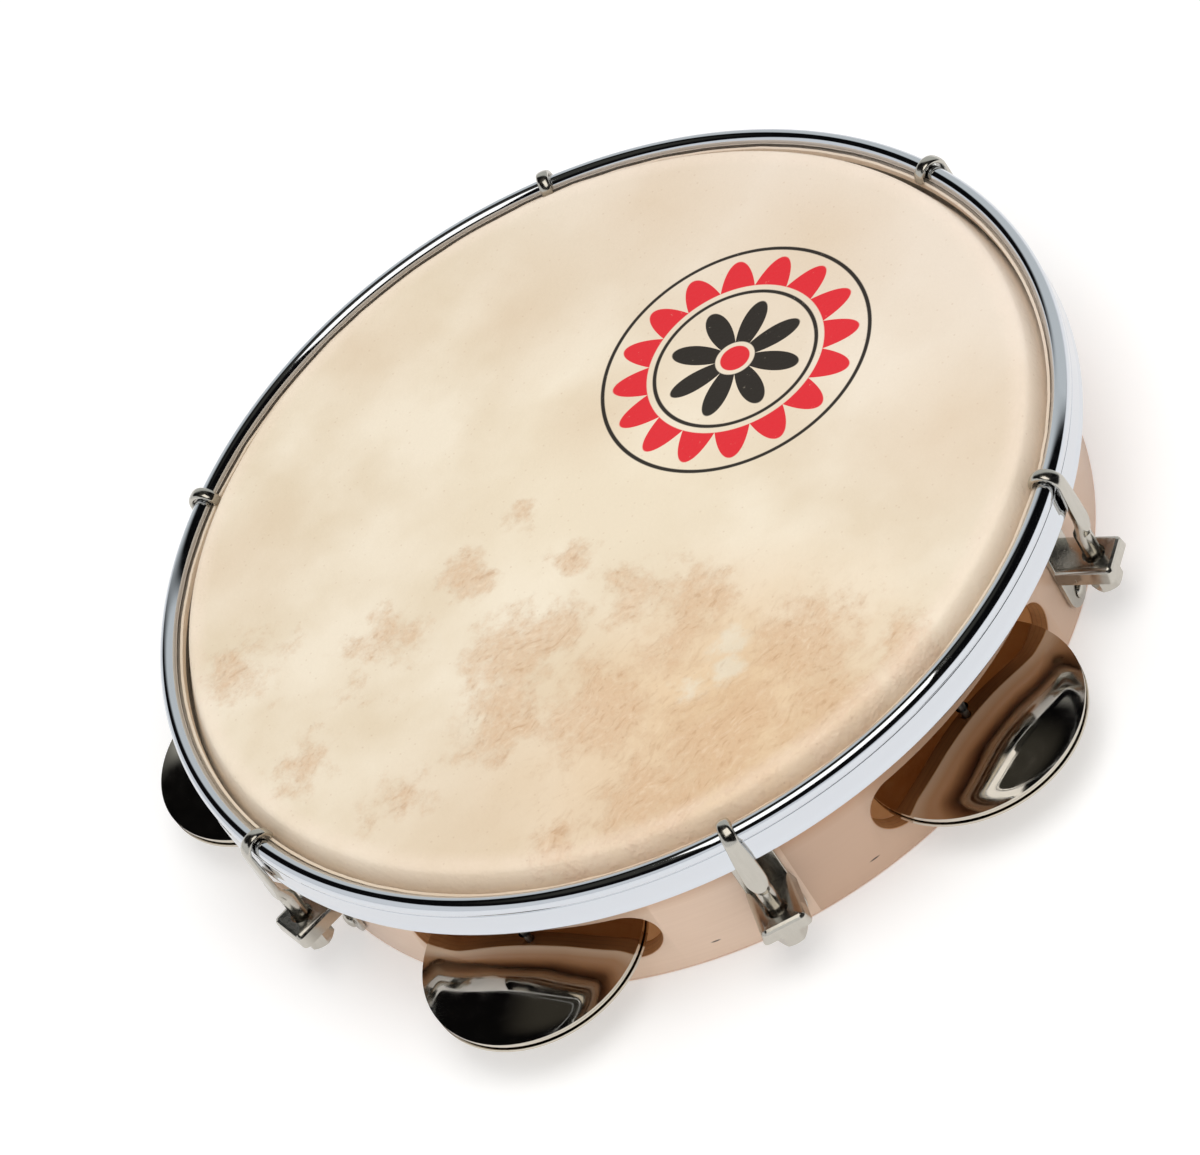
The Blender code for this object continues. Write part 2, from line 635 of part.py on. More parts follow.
def build():
    clear_scene()
    wood = material("laminated_wood", (0.62, 0.46, 0.33), 0.45, 0.0)
    goat_skin = material("goat_skin", (0.80, 0.70, 0.54), 0.60, 0.0)
    chrome = material("chrome_plate", (0.80, 0.82, 0.85), 0.08, 1.0)
    nickel = material("nickel_plate", (0.66, 0.65, 0.61), 0.25, 1.0)
    mirror = material("polished_jingle", (0.70, 0.68, 0.64), 0.10, 1.0)
    wire = material("steel_wire", (0.50, 0.50, 0.50), 0.40, 1.0)

    add_piece("shell", shell_mesh(), wood)
    add_piece("drum_skin", skin_mesh(), goat_skin)
    add_piece("flesh_hoop", flesh_hoop_mesh(), wire)
    add_piece("counterhoop", hoop_mesh(), chrome)

    hook = hook_mesh()
    nut = nut_mesh()
    bracket = bracket_mesh()
    rivet = rivet_mesh()
    for number, angle in enumerate(HOOK_ANGLES, start=1):
        centre = add_station(f"hook_centre_{number}", angle, 0.0)
        add_piece(f"bracket_{number}", bracket, nickel, centre)
        add_piece(f"lower_rivet_{number}", rivet, nickel, centre, (0.0, 0.0, LOWER_RIVET_HEIGHT))
        add_piece(f"upper_rivet_{number}", rivet, nickel, centre, (0.0, 0.0, UPPER_RIVET_HEIGHT))
        rod_axis = add_station(f"rod_axis_{number}", angle, ROD_CIRCLE)
        add_piece(f"tension_hook_{number}", hook, nickel, rod_axis)
        add_piece(f"tension_nut_{number}", nut, nickel, rod_axis, (0.0, 0.0, NUT_BOTTOM))

    upper = jingle_mesh("upper_jingle", True)
    lower = jingle_mesh("lower_jingle", False)
    damper = damper_mesh()
    pin = pin_mesh()
    for number, angle in enumerate(JINGLE_ANGLES, start=1):
        pin_axis = add_station(f"pin_axis_{number}", angle, PIN_CIRCLE)
        add_piece(f"jingle_pin_{number}", pin, wire, pin_axis)
        lower_place = (0.0, 0.0, SLOT_FLOOR + SEAT_GAP)
        add_piece(f"lower_jingle_{number}", lower, mirror, pin_axis, lower_place)
        add_piece(f"jingle_damper_{number}", damper, mirror, pin_axis, (0.0, 0.0, DAMPER_BOTTOM))
        upper_place = (0.0, 0.0, UPPER_JINGLE_BOTTOM)
        add_piece(f"upper_jingle_{number}", upper, mirror, pin_axis, upper_place)


build()
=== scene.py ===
# %% [markdown]
# A pandeiro is a shallow frame drum of bent wood. One natural skin is pulled over it by a metal hoop and
# six hooks, and five pairs of jingles ride on pins in slots through the wood. This file dresses the
# measured model of the drum: each piece is shaped again with a finer surface in the same place, and gets
# the finish of the real one. We start from the measured model, because most sizes below are read from it.

# %% Load the measured model
import json
import math

import bpy
import numpy as np
from mathutils import Matrix, Vector, noise


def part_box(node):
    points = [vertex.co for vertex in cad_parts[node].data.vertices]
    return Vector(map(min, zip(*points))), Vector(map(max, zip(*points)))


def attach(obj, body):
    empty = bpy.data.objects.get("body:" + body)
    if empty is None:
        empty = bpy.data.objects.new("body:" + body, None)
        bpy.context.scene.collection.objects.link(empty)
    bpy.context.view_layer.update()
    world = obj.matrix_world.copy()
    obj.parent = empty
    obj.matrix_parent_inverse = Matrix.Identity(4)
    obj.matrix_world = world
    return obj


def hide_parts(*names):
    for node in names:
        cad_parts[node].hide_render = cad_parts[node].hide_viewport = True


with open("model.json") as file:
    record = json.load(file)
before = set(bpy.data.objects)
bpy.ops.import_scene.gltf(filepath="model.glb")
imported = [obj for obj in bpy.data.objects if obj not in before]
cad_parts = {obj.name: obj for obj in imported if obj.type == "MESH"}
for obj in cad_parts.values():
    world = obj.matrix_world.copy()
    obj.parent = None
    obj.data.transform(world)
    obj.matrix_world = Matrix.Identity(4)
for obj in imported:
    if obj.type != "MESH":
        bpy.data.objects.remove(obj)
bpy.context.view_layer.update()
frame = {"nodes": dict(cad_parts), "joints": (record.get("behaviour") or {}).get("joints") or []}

# %% [markdown]
# Almost everything on a drum is round, so a node is best described by how near to the drum's axis it
# comes, how far out it reaches, and its lowest and highest point. One helper measures that from the
# node's own corners. Small pieces such as nuts stand at places round the rim, and the middle of a node's
# box gives that place.

# %% Measure the model
def reach(node):
    """Nearest and farthest distance from the drum's axis, lowest and highest point."""
    corners = np.array([corner.co for corner in frame["nodes"][node].data.vertices])
    away = np.hypot(corners[:, 0], corners[:, 1])
    return away.min(), away.max(), corners[:, 2].min(), corners[:, 2].max()


def station(node):
    """Angle round the drum in radians, and distance from its axis, of a small node's middle."""
    low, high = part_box(node)
    middle = (low + high) / 2
    return math.atan2(middle.y, middle.x), math.hypot(middle.x, middle.y)


BORE_RADIUS, SHELL_RADIUS, _, SHELL_HEIGHT = reach("shell")
SKIN_TOP = reach("drum_skin")[3]
SKIRT_INNER, HOOP_REACH, HOOP_BOTTOM, HOOP_TOP = reach("counterhoop")
ROD_NEAR, ROD_FAR, ROD_LOW, ROD_HIGH = reach("flesh_hoop")
HOOK_PLACES = [station(f"tension_nut_{number}") for number in range(1, 7)]
JINGLE_PLACES = [station(f"jingle_pin_{number}") for number in range(1, 6)]
print("shell radius and height in mm:", round(SHELL_RADIUS * 1000, 1), round(SHELL_HEIGHT * 1000, 1))
print("hook angles:", [round(math.degrees(angle), 1) for angle, _ in HOOK_PLACES])

# %% [markdown]
# Modelling by hand means: add a primitive, go into edit mode, select a part of it, and extrude, turn or
# scale that part. An operator acts on everything that is selected, so each piece starts with an empty
# selection. These few helpers pick faces, edges or corners by a rule, apply a modifier, drill a hole,
# name the finished piece, and say which body it moves with and which measured node it stands for.

# %% Helpers for modelling
PARALLEL = 0.9          # a direction with more than this along an axis counts as following it
NEARBY = 0.0001         # metres: closer than this counts as the same place
HOLE_SIDES = 24


def start_fresh():
    """Leave edit mode and deselect everything, so that an operator finds only the new piece."""
    if bpy.context.object and bpy.context.object.mode != "OBJECT":
        bpy.ops.object.mode_set(mode="OBJECT")
    bpy.ops.object.select_all(action="DESELECT")


def work_on(piece):
    """Make one object the only selected and the active one."""
    start_fresh()
    piece.select_set(True)
    bpy.context.view_layer.objects.active = piece


def pick(kind, rule):
    """Select the corners, edges or faces whose middle fits the rule, and end in edit mode."""
    piece = bpy.context.object
    bpy.ops.object.mode_set(mode="EDIT")
    bpy.ops.mesh.select_mode(type={"vertices": "VERT", "edges": "EDGE", "polygons": "FACE"}[kind])
    bpy.ops.mesh.select_all(action="DESELECT")
    bpy.ops.object.mode_set(mode="OBJECT")
    mesh = piece.data
    for item in getattr(mesh, kind):
        if kind == "vertices":
            middle = item.co
        elif kind == "edges":
            middle = (mesh.vertices[item.vertices[0]].co + mesh.vertices[item.vertices[1]].co) / 2
        else:
            middle = item.center
        if rule(item, middle):
            item.select = True
    bpy.ops.object.mode_set(mode="EDIT")


def edge_direction(mesh, edge):
    """The edge's direction as a unit vector."""
    return (mesh.vertices[edge.vertices[1]].co - mesh.vertices[edge.vertices[0]].co).normalized()


def apply_modifier(piece, kind, **settings):
    """Add one modifier with its settings and apply it at once."""
    work_on(piece)
    modifier = piece.modifiers.new(kind.lower(), kind)
    for name, value in settings.items():
        setattr(modifier, name, value)
    bpy.ops.object.modifier_apply(modifier=modifier.name)


def cut_with(piece, cutter, operation="DIFFERENCE"):
    """One exact Boolean with a cutter, which is then deleted."""
    apply_modifier(piece, "BOOLEAN", operation=operation, solver="EXACT", object=cutter)
    bpy.data.objects.remove(cutter, do_unlink=True)


def block(size, middle):
    """A box whose place and size are already in its mesh."""
    start_fresh()
    bpy.ops.mesh.primitive_cube_add(size=1.0, location=middle, scale=size)
    box = bpy.context.object
    bpy.ops.object.transform_apply(location=True, rotation=True, scale=True)
    return box


def drill(piece, radius, depth, middle, rotation=(0.0, 0.0, 0.0), sides=HOLE_SIDES):
    """Cut a round hole with a cylinder."""
    start_fresh()
    bpy.ops.mesh.primitive_cylinder_add(vertices=sides, radius=radius, depth=depth, location=middle,
                                        rotation=rotation)
    cut_with(piece, bpy.context.object)


def at(angle, away, height):
    """The point at an angle round the drum, a distance from its axis and a height."""
    return away * math.cos(angle), away * math.sin(angle), height


def settle(piece, name, smooth_angle=32.0):
    """Name a piece, put its place into its mesh, and shade its round parts smooth."""
    work_on(piece)
    bpy.ops.object.transform_apply(location=True, rotation=True, scale=True)
    bpy.ops.object.shade_smooth_by_angle(angle=math.radians(smooth_angle))
    piece.name = name
    piece.data.name = name
    print(name, "faces:", len(piece.data.polygons))
    return piece


def hand_over(piece, finish, body, node):
    """Give a finished piece its finish and the body it moves with, and hide the node it stands for."""
    piece.data.materials.clear()
    piece.data.materials.append(finish)
    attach(piece, body)
    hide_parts(node)


# %% [markdown]
# A hoop, a skin and a jingle are all turned shapes. By hand we draw half of the section as a line of
# corners, each extruded from the last, and spin that line round the axis. A line that comes back to its
# start makes a ring of solid metal, and an open one makes a sheet, which a Solidify modifier then gives
# its thickness.

# %% Helper for turned pieces
MERGE_DISTANCE = 0.000002
BEVEL_MERGE = 4 * MERGE_DISTANCE
EASE_STEPS = 3          # steps in the round of a small eased edge


def turned(points, steps):
    """Draw a section of (radius, height) points in edit mode and spin it round the Z axis."""
    start_fresh()
    bpy.ops.mesh.primitive_plane_add(size=0.001, location=(0.0, 0.0, 0.0))
    bpy.ops.object.mode_set(mode="EDIT")
    bpy.ops.mesh.select_mode(type="VERT")
    bpy.ops.mesh.select_all(action="SELECT")
    bpy.ops.mesh.merge(type="CENTER")
    bpy.ops.transform.translate(value=(points[0][0], 0.0, points[0][1]))
    for before, after in zip(points, points[1:]):
        move = (after[0] - before[0], 0.0, after[1] - before[1])
        bpy.ops.mesh.extrude_vertices_move(TRANSFORM_OT_translate={"value": move})
    bpy.ops.mesh.select_all(action="SELECT")
    bpy.ops.mesh.remove_doubles(threshold=MERGE_DISTANCE)
    bpy.ops.mesh.spin(steps=steps, angle=math.tau, center=(0.0, 0.0, 0.0), axis=(0.0, 0.0, 1.0))
    bpy.ops.mesh.select_all(action="SELECT")
    bpy.ops.mesh.remove_doubles(threshold=MERGE_DISTANCE)
    bpy.ops.mesh.normals_make_consistent(inside=False)
    bpy.ops.object.mode_set(mode="OBJECT")
    return bpy.context.object


def arc(centre, radius, start, end, steps):
    """Points on an arc of a section, from start to end in degrees."""
    points = []
    for step in range(steps + 1):
        turn = math.radians(start + (end - start) * step / steps)
        points.append((centre[0] + radius * math.cos(turn), centre[1] + radius * math.sin(turn)))
    return points


# %% [markdown]
# The photograph is 1200 by 1155 pixels and looks down on the drum with a long lens. The drum leans in the
# picture, so the camera is rolled about its own line of sight. A camera is easiest to read as the point
# that it aims at, the direction and distance from there, and the roll.

# %% Camera
AIM = Vector((-0.01842, -0.01846, 0.0500))
CAMERA_AZIMUTH = -107.355
CAMERA_ELEVATION = 43.015
CAMERA_DISTANCE = 1.3087
CAMERA_ROLL = -33.854
SENSOR_WIDTH = 36.0
FOCAL_LENGTH = 142.5

azimuth = math.radians(CAMERA_AZIMUTH)
elevation = math.radians(CAMERA_ELEVATION)
TOWARDS_CAMERA = Vector((math.cos(elevation) * math.cos(azimuth), math.cos(elevation) * math.sin(azimuth),
                         math.sin(elevation)))
start_fresh()
bpy.ops.object.camera_add(location=AIM + TOWARDS_CAMERA * CAMERA_DISTANCE)
camera = bpy.context.object
camera.rotation_mode = "QUATERNION"
upright = TOWARDS_CAMERA.to_track_quat("Z", "Y")
camera.rotation_quaternion = upright @ Matrix.Rotation(math.radians(CAMERA_ROLL), 3, "Z").to_quaternion()
camera.data.lens = FOCAL_LENGTH
camera.data.sensor_width = SENSOR_WIDTH
camera.data.clip_end = 50.0
bpy.context.scene.camera = camera
print("camera at", [round(value, 3) for value in camera.location])

# %% [markdown]
# Colours are written as they would be read from a screen. Blender mixes light, so each is turned from
# screen values to linear ones by one function. A material is a small web of nodes: one helper adds a
# node, sets what it is told, and links or fills its inputs. Paint goes on in coats, and a second helper
# lays tints over a ground in the same way: each coat covers the ones below it by its share.

# %% Helpers for colours and nodes
MIX_A = 6
MIX_B = 7


def linear(code):
    """A screen colour such as E8DCC4 as linear red, green, blue and an opaque alpha."""
    values = []
    for start in (0, 2, 4):
        share = int(code[start:start + 2], 16) / 255
        values.append(share / 12.92 if share <= 0.04045 else ((share + 0.055) / 1.055) ** 2.4)
    return (*values, 1.0)


def fill(tree, node, inputs):
    """Fill a node's inputs: a socket or another node's main output is linked, and the rest are values."""
    for name, value in inputs.items():
        if isinstance(value, bpy.types.Node):
            value = next(socket for socket in value.outputs if socket.enabled)
        if isinstance(value, bpy.types.NodeSocket):
            tree.links.new(value, node.inputs[name])
        else:
            node.inputs[name].default_value = value


def add(tree, kind, inputs=None, **settings):
    """Add one node with its settings, and fill its inputs."""
    node = tree.nodes.new("ShaderNode" + kind)
    for name, value in settings.items():
        setattr(node, name, value)
    fill(tree, node, inputs or {})
    return node


def coats(tree, ground, *layers):
    """Tints laid over a ground one after the other, each given by its share and its screen colour."""
    colour = linear(ground) if isinstance(ground, str) else ground
    for share, tint in layers:
        colour = add(tree, "Mix", {0: share, MIX_A: colour, MIX_B: linear(tint)}, data_type="RGBA")
    return colour


def new_material(name):
    """An empty Principled material: its tree, its shader and the piece's own coordinates."""
    material = bpy.data.materials.new(name)
    material.use_nodes = True
    tree = material.node_tree
    shader = tree.nodes["Principled BSDF"]
    place = add(tree, "TexCoord").outputs["Object"]
    return material, tree, shader, place


# %% [markdown]
# The drum rests on a plain white floor. The floor stays a real surface, so it takes the drum's soft
# shadow. What the camera and the metal see of it is lifted a little to white. Inside the drum no lamp
# reaches the floor, so that part gets a painted glow: a faint warm brown emission in place of the light
# that would come through the skin and off bare wood.

# %% Floor
FLOOR_SIZE = 9.0
FLOOR_LIFT = 0.32
MIRRORED_SHARE = 0.70
PAINTED_INNER_GLOW = 0.34


def floor_material():
    material, tree, shader, place = new_material("white_paper_floor")
    path = add(tree, "LightPath").outputs
    mirrored = add(tree, "Math", {0: path["Is Glossy Ray"], 1: MIRRORED_SHARE}, operation="MULTIPLY")
    seen = add(tree, "Math", {0: path["Is Camera Ray"], 1: mirrored}, operation="MAXIMUM")
    lift = add(tree, "Math", {0: seen, 1: FLOOR_LIFT}, operation="MULTIPLY")
    away = add(tree, "VectorMath", {0: place}, operation="LENGTH")
    outside = add(tree, "Math", {0: away, 1: SHELL_RADIUS}, operation="GREATER_THAN")
    # painted glow: a warm brown emission on the floor inside the drum's ring, in place of bounce light
    painted_glow = add(tree, "Mix", {0: outside, 2: PAINTED_INNER_GLOW, 3: lift})
    fill(tree, shader, {"Base Color": linear("E6E6E6"), "Roughness": 0.9,
                        "Emission Color": coats(tree, "B07A48", (outside, "FFFFFF")),
                        "Emission Strength": painted_glow})
    return material


start_fresh()
bpy.ops.mesh.primitive_plane_add(size=FLOOR_SIZE, location=(0.0, 0.0, 0.0))
floor = bpy.context.object
floor.name = "floor"
floor.data.materials.append(floor_material())
print("floor side in m:", FLOOR_SIZE)

# %% [markdown]
# Polished metal has no look of its own: it shows the room. The hoop's bead is half a tube, so at each
# place it mirrors a whole sweep of the studio, and the photograph's black and white stripes tell where
# things stood. A white sweep of paper rises highest on the left and not at all on the right front, a grey
# panel stands on the right and the far side, and the rest is a dark room. The world holds those for
# reflections, a soft light that is stronger from the sides than from above for what isn't shiny, and
# plain white for the camera.

# %% Room light
SWEEP_SIDE = 140.0      # degrees: where the white sweep is highest
SWEEP_TILT = 22.5
SWEEP_EDGE = 0.035
GAP_SIDE = 95.0         # a dark gap behind the sweep's right end
GAP_LIFT = 48.0
PANEL_SIDE = 42.0
CEILING_EDGE = (0.84, 0.94)     # soft steps, in how far a direction points along an axis
GAP_EDGE = (0.88, 0.84)
PANEL_EDGE = (0.56, 0.68)
SKYLINE = (0.06, 0.14)
SIDE_TO_TOP = (0.0, 0.8)
SIDE_LIGHT = 1.45
TOP_LIGHT = 0.54
DARK_ROOM = "0B0B0C"
DARK_CEILING = "3A3934"
SWEEP = "DEE0E2"
PANEL = "CCD0D0"


def direction_to(azimuth_angle, elevation_angle):
    """A unit vector towards a place in the room, from two angles in degrees."""
    turn = math.radians(azimuth_angle)
    lift = math.radians(elevation_angle)
    return Vector((math.cos(lift) * math.cos(turn), math.cos(lift) * math.sin(turn), math.sin(lift)))


def beyond(tree, direction, axis, start, end):
    """A soft step in how far a direction points along an axis."""
    along = add(tree, "VectorMath", {0: direction, 1: axis}, operation="DOT_PRODUCT")
    return add(tree, "MapRange", {"Value": along, "From Min": start, "From Max": end},
               interpolation_type="SMOOTHSTEP")


def studio_world():
    world = bpy.context.scene.world or bpy.data.worlds.new("studio")
    bpy.context.scene.world = world
    world.use_nodes = True
    tree = world.node_tree
    tree.nodes.clear()
    upwards = Vector((0.0, 0.0, 1.0))
    direction = add(tree, "TexCoord").outputs["Generated"]
    overhead = beyond(tree, direction, upwards, *CEILING_EDGE)
    line = math.sin(math.radians(SWEEP_TILT))
    below_top = beyond(tree, direction, direction_to(SWEEP_SIDE + 180.0, 90.0 - SWEEP_TILT),
                       line + SWEEP_EDGE, line - SWEEP_EDGE)
    outside_gap = beyond(tree, direction, direction_to(GAP_SIDE, GAP_LIFT), *GAP_EDGE)
    on_sweep = add(tree, "Math", {0: below_top, 1: outside_gap}, operation="MULTIPLY")
    near_panel = beyond(tree, direction, direction_to(PANEL_SIDE, 0.0), *PANEL_EDGE)
    over_skyline = beyond(tree, direction, upwards, *SKYLINE)
    on_panel = add(tree, "Math", {0: near_panel, 1: over_skyline}, operation="MULTIPLY")
    room = coats(tree, DARK_ROOM, (overhead, DARK_CEILING), (on_sweep, SWEEP), (on_panel, PANEL))
    high = beyond(tree, direction, upwards, *SIDE_TO_TOP)
    soft = add(tree, "Mix", {0: high, MIX_A: (SIDE_LIGHT, SIDE_LIGHT, SIDE_LIGHT, 1.0),
                             MIX_B: (TOP_LIGHT, TOP_LIGHT, TOP_LIGHT, 1.0)}, data_type="RGBA")
    path = add(tree, "LightPath").outputs
    shown = add(tree, "Mix", {0: path["Is Glossy Ray"], MIX_A: soft, MIX_B: room}, data_type="RGBA")
    background = add(tree, "Background", {"Color": coats(tree, shown, (path["Is Camera Ray"], "FFFFFF")),
                                          "Strength": 1.0})
    add(tree, "OutputWorld", {"Surface": background})


studio_world()
bpy.context.scene.view_settings.view_transform = "Standard"
print("light from the sides and from above:", SIDE_LIGHT, TOP_LIGHT)

# %% [markdown]
# One tall softbox leans over the drum. Its mirror image is the white stripe inside the black band of the
# bead. The lamp itself is far brighter than white, which would make ragged edges in a mirror, so metal
# sees the lamp's cloth front instead: a panel just above white.

# %% Softbox
SOFTBOX_MIDDLE = Vector((0.005, -0.174, 0.937))
SOFTBOX_ACROSS = Vector((0.973, -0.231, 0.000))
SOFTBOX_ALONG = Vector((0.168, 0.689, 0.704))
SOFTBOX_WIDTH = 0.54
SOFTBOX_LENGTH = 0.82
SOFTBOX_POWER = 4.2
CLOTH_BRIGHTNESS = 1.5

turned_axes = Matrix((SOFTBOX_ACROSS, SOFTBOX_ALONG, SOFTBOX_ACROSS.cross(SOFTBOX_ALONG))).transposed()
softbox_place = Matrix.Translation(SOFTBOX_MIDDLE) @ turned_axes.to_4x4()
start_fresh()
bpy.ops.object.light_add(type="AREA")
softbox = bpy.context.object
softbox.name = "softbox"
softbox.matrix_world = softbox_place
softbox.data.shape = "RECTANGLE"
softbox.data.size = SOFTBOX_WIDTH
softbox.data.size_y = SOFTBOX_LENGTH
softbox.data.energy = SOFTBOX_POWER
softbox.data.color = linear("FFFDFA")[:3]
softbox.visible_glossy = False


def cloth_material():
    material, tree, shader, _ = new_material("lit_softbox_cloth")
    fill(tree, shader, {"Base Color": linear("000000"), "Emission Color": linear("FFFBF4"),
                        "Emission Strength": CLOTH_BRIGHTNESS})
    return material


start_fresh()
bpy.ops.mesh.primitive_plane_add(size=1.0)
cloth = bpy.context.object
cloth.name = "softbox_cloth"
cloth.scale = (SOFTBOX_WIDTH, SOFTBOX_LENGTH, 1.0)
bpy.ops.object.transform_apply(location=True, rotation=True, scale=True)
cloth.matrix_world = softbox_place
cloth.data.materials.append(cloth_material())
cloth.visible_camera = False
cloth.visible_diffuse = False
cloth.visible_shadow = False
print("softbox centre:", [round(value, 3) for value in softbox.location])

# %% [markdown]
# The shell is thin strips of pale hardwood, glued face to face and bent into a ring, with a clear satin
# lacquer. Its outside shows one veneer whose grain runs round the drum, and the cut edges show the
# stacked strips. Grain drawn on straight coordinates would look sawn from a plank, so the pattern is
# drawn on the angle round the drum, the height and the distance from the axis. The pattern starts at the
# scarf, where the veneer meets itself; from one end there round to the other the veneer grows steadily
# darker, so the two ends that meet at the scarf differ in tone. The band of wall under the hoop is painted
# warmer and darker: a painted shade of the hoop.

# %% Lacquered laminated wood
SCARF_ANGLE = -113.0
GRAIN_ALONG = 0.030     # metres between changes along the grain
GRAIN_ACROSS = 0.0006
STRIP_THICKNESS = 0.00137
RIM_DEPTH = 0.0004      # deeper than this in the wall, the wood is a cut edge
MARKS = (               # angle in degrees, height, half length and half height of small dark marks
    (-49.4, 0.0083, 0.0009, 0.0007),
    (-104.2, 0.0062, 0.0016, 0.0003),
    (-125.9, 0.0071, 0.0014, 0.0003),
)


def dent_marks(tree, angle, height):
    """One inside each of a few small marks in the lacquer, from their places on the wall."""
    total = 0.0
    for place, level, half_length, half_height in MARKS:
        turn = math.radians((place - SCARF_ANGLE) % 360.0 - 180.0)
        along = add(tree, "Math", {0: angle, 1: turn}, operation="SUBTRACT")
        across = add(tree, "Math", {0: height, 1: level}, operation="SUBTRACT")
        spot = add(tree, "CombineXYZ", {0: along, 1: across})
        scaled = add(tree, "VectorMath", {0: spot, 1: (SHELL_RADIUS / half_length, 1 / half_height, 0.0)},
                     operation="MULTIPLY")
        away = add(tree, "VectorMath", {0: scaled}, operation="LENGTH")
        inside = add(tree, "MapRange", {"Value": away, "From Min": 1.2, "From Max": 0.6})
        total = add(tree, "Math", {0: total, 1: inside}, operation="ADD")
    return total


def wood_material():
    material, tree, shader, place = new_material("lacquered_laminated_maple")
    from_scarf = add(tree, "VectorRotate", {"Vector": place, "Axis": (0.0, 0.0, 1.0),
                                            "Angle": math.radians(180.0 - SCARF_ANGLE)})
    x, y, height = add(tree, "SeparateXYZ", {0: from_scarf}).outputs
    angle = add(tree, "Math", {0: y, 1: x}, operation="ARCTAN2")
    away = add(tree, "VectorMath", {0: add(tree, "CombineXYZ", {0: x, 1: y})}, operation="LENGTH")
    along = add(tree, "Math", {0: angle, 1: SHELL_RADIUS / GRAIN_ALONG}, operation="MULTIPLY")
    across = add(tree, "Math", {0: height, 1: 1 / GRAIN_ACROSS}, operation="MULTIPLY")
    deep = add(tree, "Math", {0: away, 1: 1 / STRIP_THICKNESS}, operation="MULTIPLY")
    grain_place = add(tree, "CombineXYZ", {0: along, 1: across, 2: deep})
    grain = add(tree, "TexNoise", {"Vector": grain_place, "Scale": 1.0, "Detail": 4.0, "Roughness": 0.6})
    cloud = add(tree, "TexNoise", {"Vector": place, "Scale": 22.0, "Detail": 2.0})
    warm = add(tree, "MapRange", {"Value": cloud, "From Min": 0.35, "From Max": 0.7, "To Max": 0.45})
    darker_end = add(tree, "MapRange", {"Value": angle, "From Min": math.pi, "From Max": -math.pi,
                                        "To Max": 0.75})
    # painted shade: the band of wall under the hoop is warmer and darker
    painted_hoop_shade = add(tree, "MapRange", {"Value": height, "From Min": 0.026, "From Max": 0.033,
                                        "To Max": 0.8})
    outside = coats(tree, "E5C8B0", (grain, "EFD4BD"), (warm, "E2C0A4"), (darker_end, "C4A085"),
                    (painted_hoop_shade, "B27C50"), (dent_marks(tree, angle, height), "3A2A20"))
    strip = add(tree, "Math", {0: deep}, operation="FRACT")
    glue = add(tree, "MapRange", {"Value": strip, "From Max": 0.16, "To Min": 0.55, "To Max": 0.0})
    cut_edge = coats(tree, "B87A4B", (grain, "D39F6D"), (glue, "6E4A30"))
    cut = add(tree, "Math", {0: away, 1: SHELL_RADIUS - RIM_DEPTH}, operation="LESS_THAN")
    colour = add(tree, "Mix", {0: cut, MIX_A: outside, MIX_B: cut_edge}, data_type="RGBA")
    bump = add(tree, "Bump", {"Strength": 0.15, "Distance": 0.0001, "Height": grain})
    fill(tree, shader, {"Base Color": colour, "Normal": bump, "Roughness": 0.42, "Coat Weight": 0.35,
                        "Coat Roughness": 0.18})
    return material


WOOD = wood_material()

# %% [markdown]
# The slots are routed through the bent shell, so their walls point at the drum's axis and their rims are
# eased with sandpaper. A flat cutter would leave slanted walls, so we make a straight block with round
# ends, flare both of its faces for the eased rim, and wrap it round the drum's axis before it cuts.

# %% Cutter for the slots
SLOT_LENGTH = 0.0775
SLOT_HEIGHT = 0.0180
SLOT_FLOOR = 0.0088
RIM_EASE = 0.0005
END_STEPS = 14
WRAP_STEPS = 26


def slot_cutter(angle):
    """A block with round ends that is wrapped round the drum at one slot."""
    wall = SHELL_RADIUS - BORE_RADIUS
    depth = wall - 2 * RIM_EASE
    middle_radius = (SHELL_RADIUS + BORE_RADIUS) / 2
    middle_height = SLOT_FLOOR + SLOT_HEIGHT / 2
    cutter = block((depth, SLOT_LENGTH, SLOT_HEIGHT), (middle_radius, 0.0, middle_height))
    pick("edges", lambda edge, middle: abs(edge_direction(cutter.data, edge).x) > PARALLEL)
    bpy.ops.mesh.bevel(offset=SLOT_HEIGHT / 2 - MERGE_DISTANCE, segments=END_STEPS, affect="EDGES")
    bpy.ops.mesh.select_all(action="SELECT")
    bpy.ops.mesh.remove_doubles(threshold=BEVEL_MERGE)
    straight = SLOT_LENGTH - SLOT_HEIGHT
    for step in range(WRAP_STEPS + 1):
        bpy.ops.mesh.select_all(action="SELECT")
        bpy.ops.mesh.bisect(plane_co=(0.0, straight * (step / WRAP_STEPS - 0.5), 0.0),
                            plane_no=(0.0, 1.0, 0.0))
    for side in (-1, 1):
        face_x = middle_radius + side * depth / 2
        pick("polygons", lambda face, middle: (abs(face.normal.x) > PARALLEL
                                               and abs(middle.x - face_x) < NEARBY))
        bpy.ops.mesh.extrude_region_move(TRANSFORM_OT_translate={"value": (side * wall, 0.0, 0.0)})
        bpy.ops.transform.resize(value=(1.0, (SLOT_LENGTH + 2 * wall) / SLOT_LENGTH,
                                        (SLOT_HEIGHT + 2 * wall) / SLOT_HEIGHT),
                                 center_override=(0.0, 0.0, middle_height))
    bpy.ops.object.mode_set(mode="OBJECT")
    for corner in cutter.data.vertices:
        turn = angle + corner.co.y / SHELL_RADIUS
        corner.co.y = corner.co.x * math.sin(turn)
        corner.co.x = corner.co.x * math.cos(turn)
    return cutter


# %% [markdown]
# The ring itself is a tube with a wall. Its edges are rounded first, while the mesh is still clean, and
# then come the slots, the holes drilled up for the pins and the holes for the rivets. The bearing edge
# under the skin is rounder than the bottom edge that stands on the table.

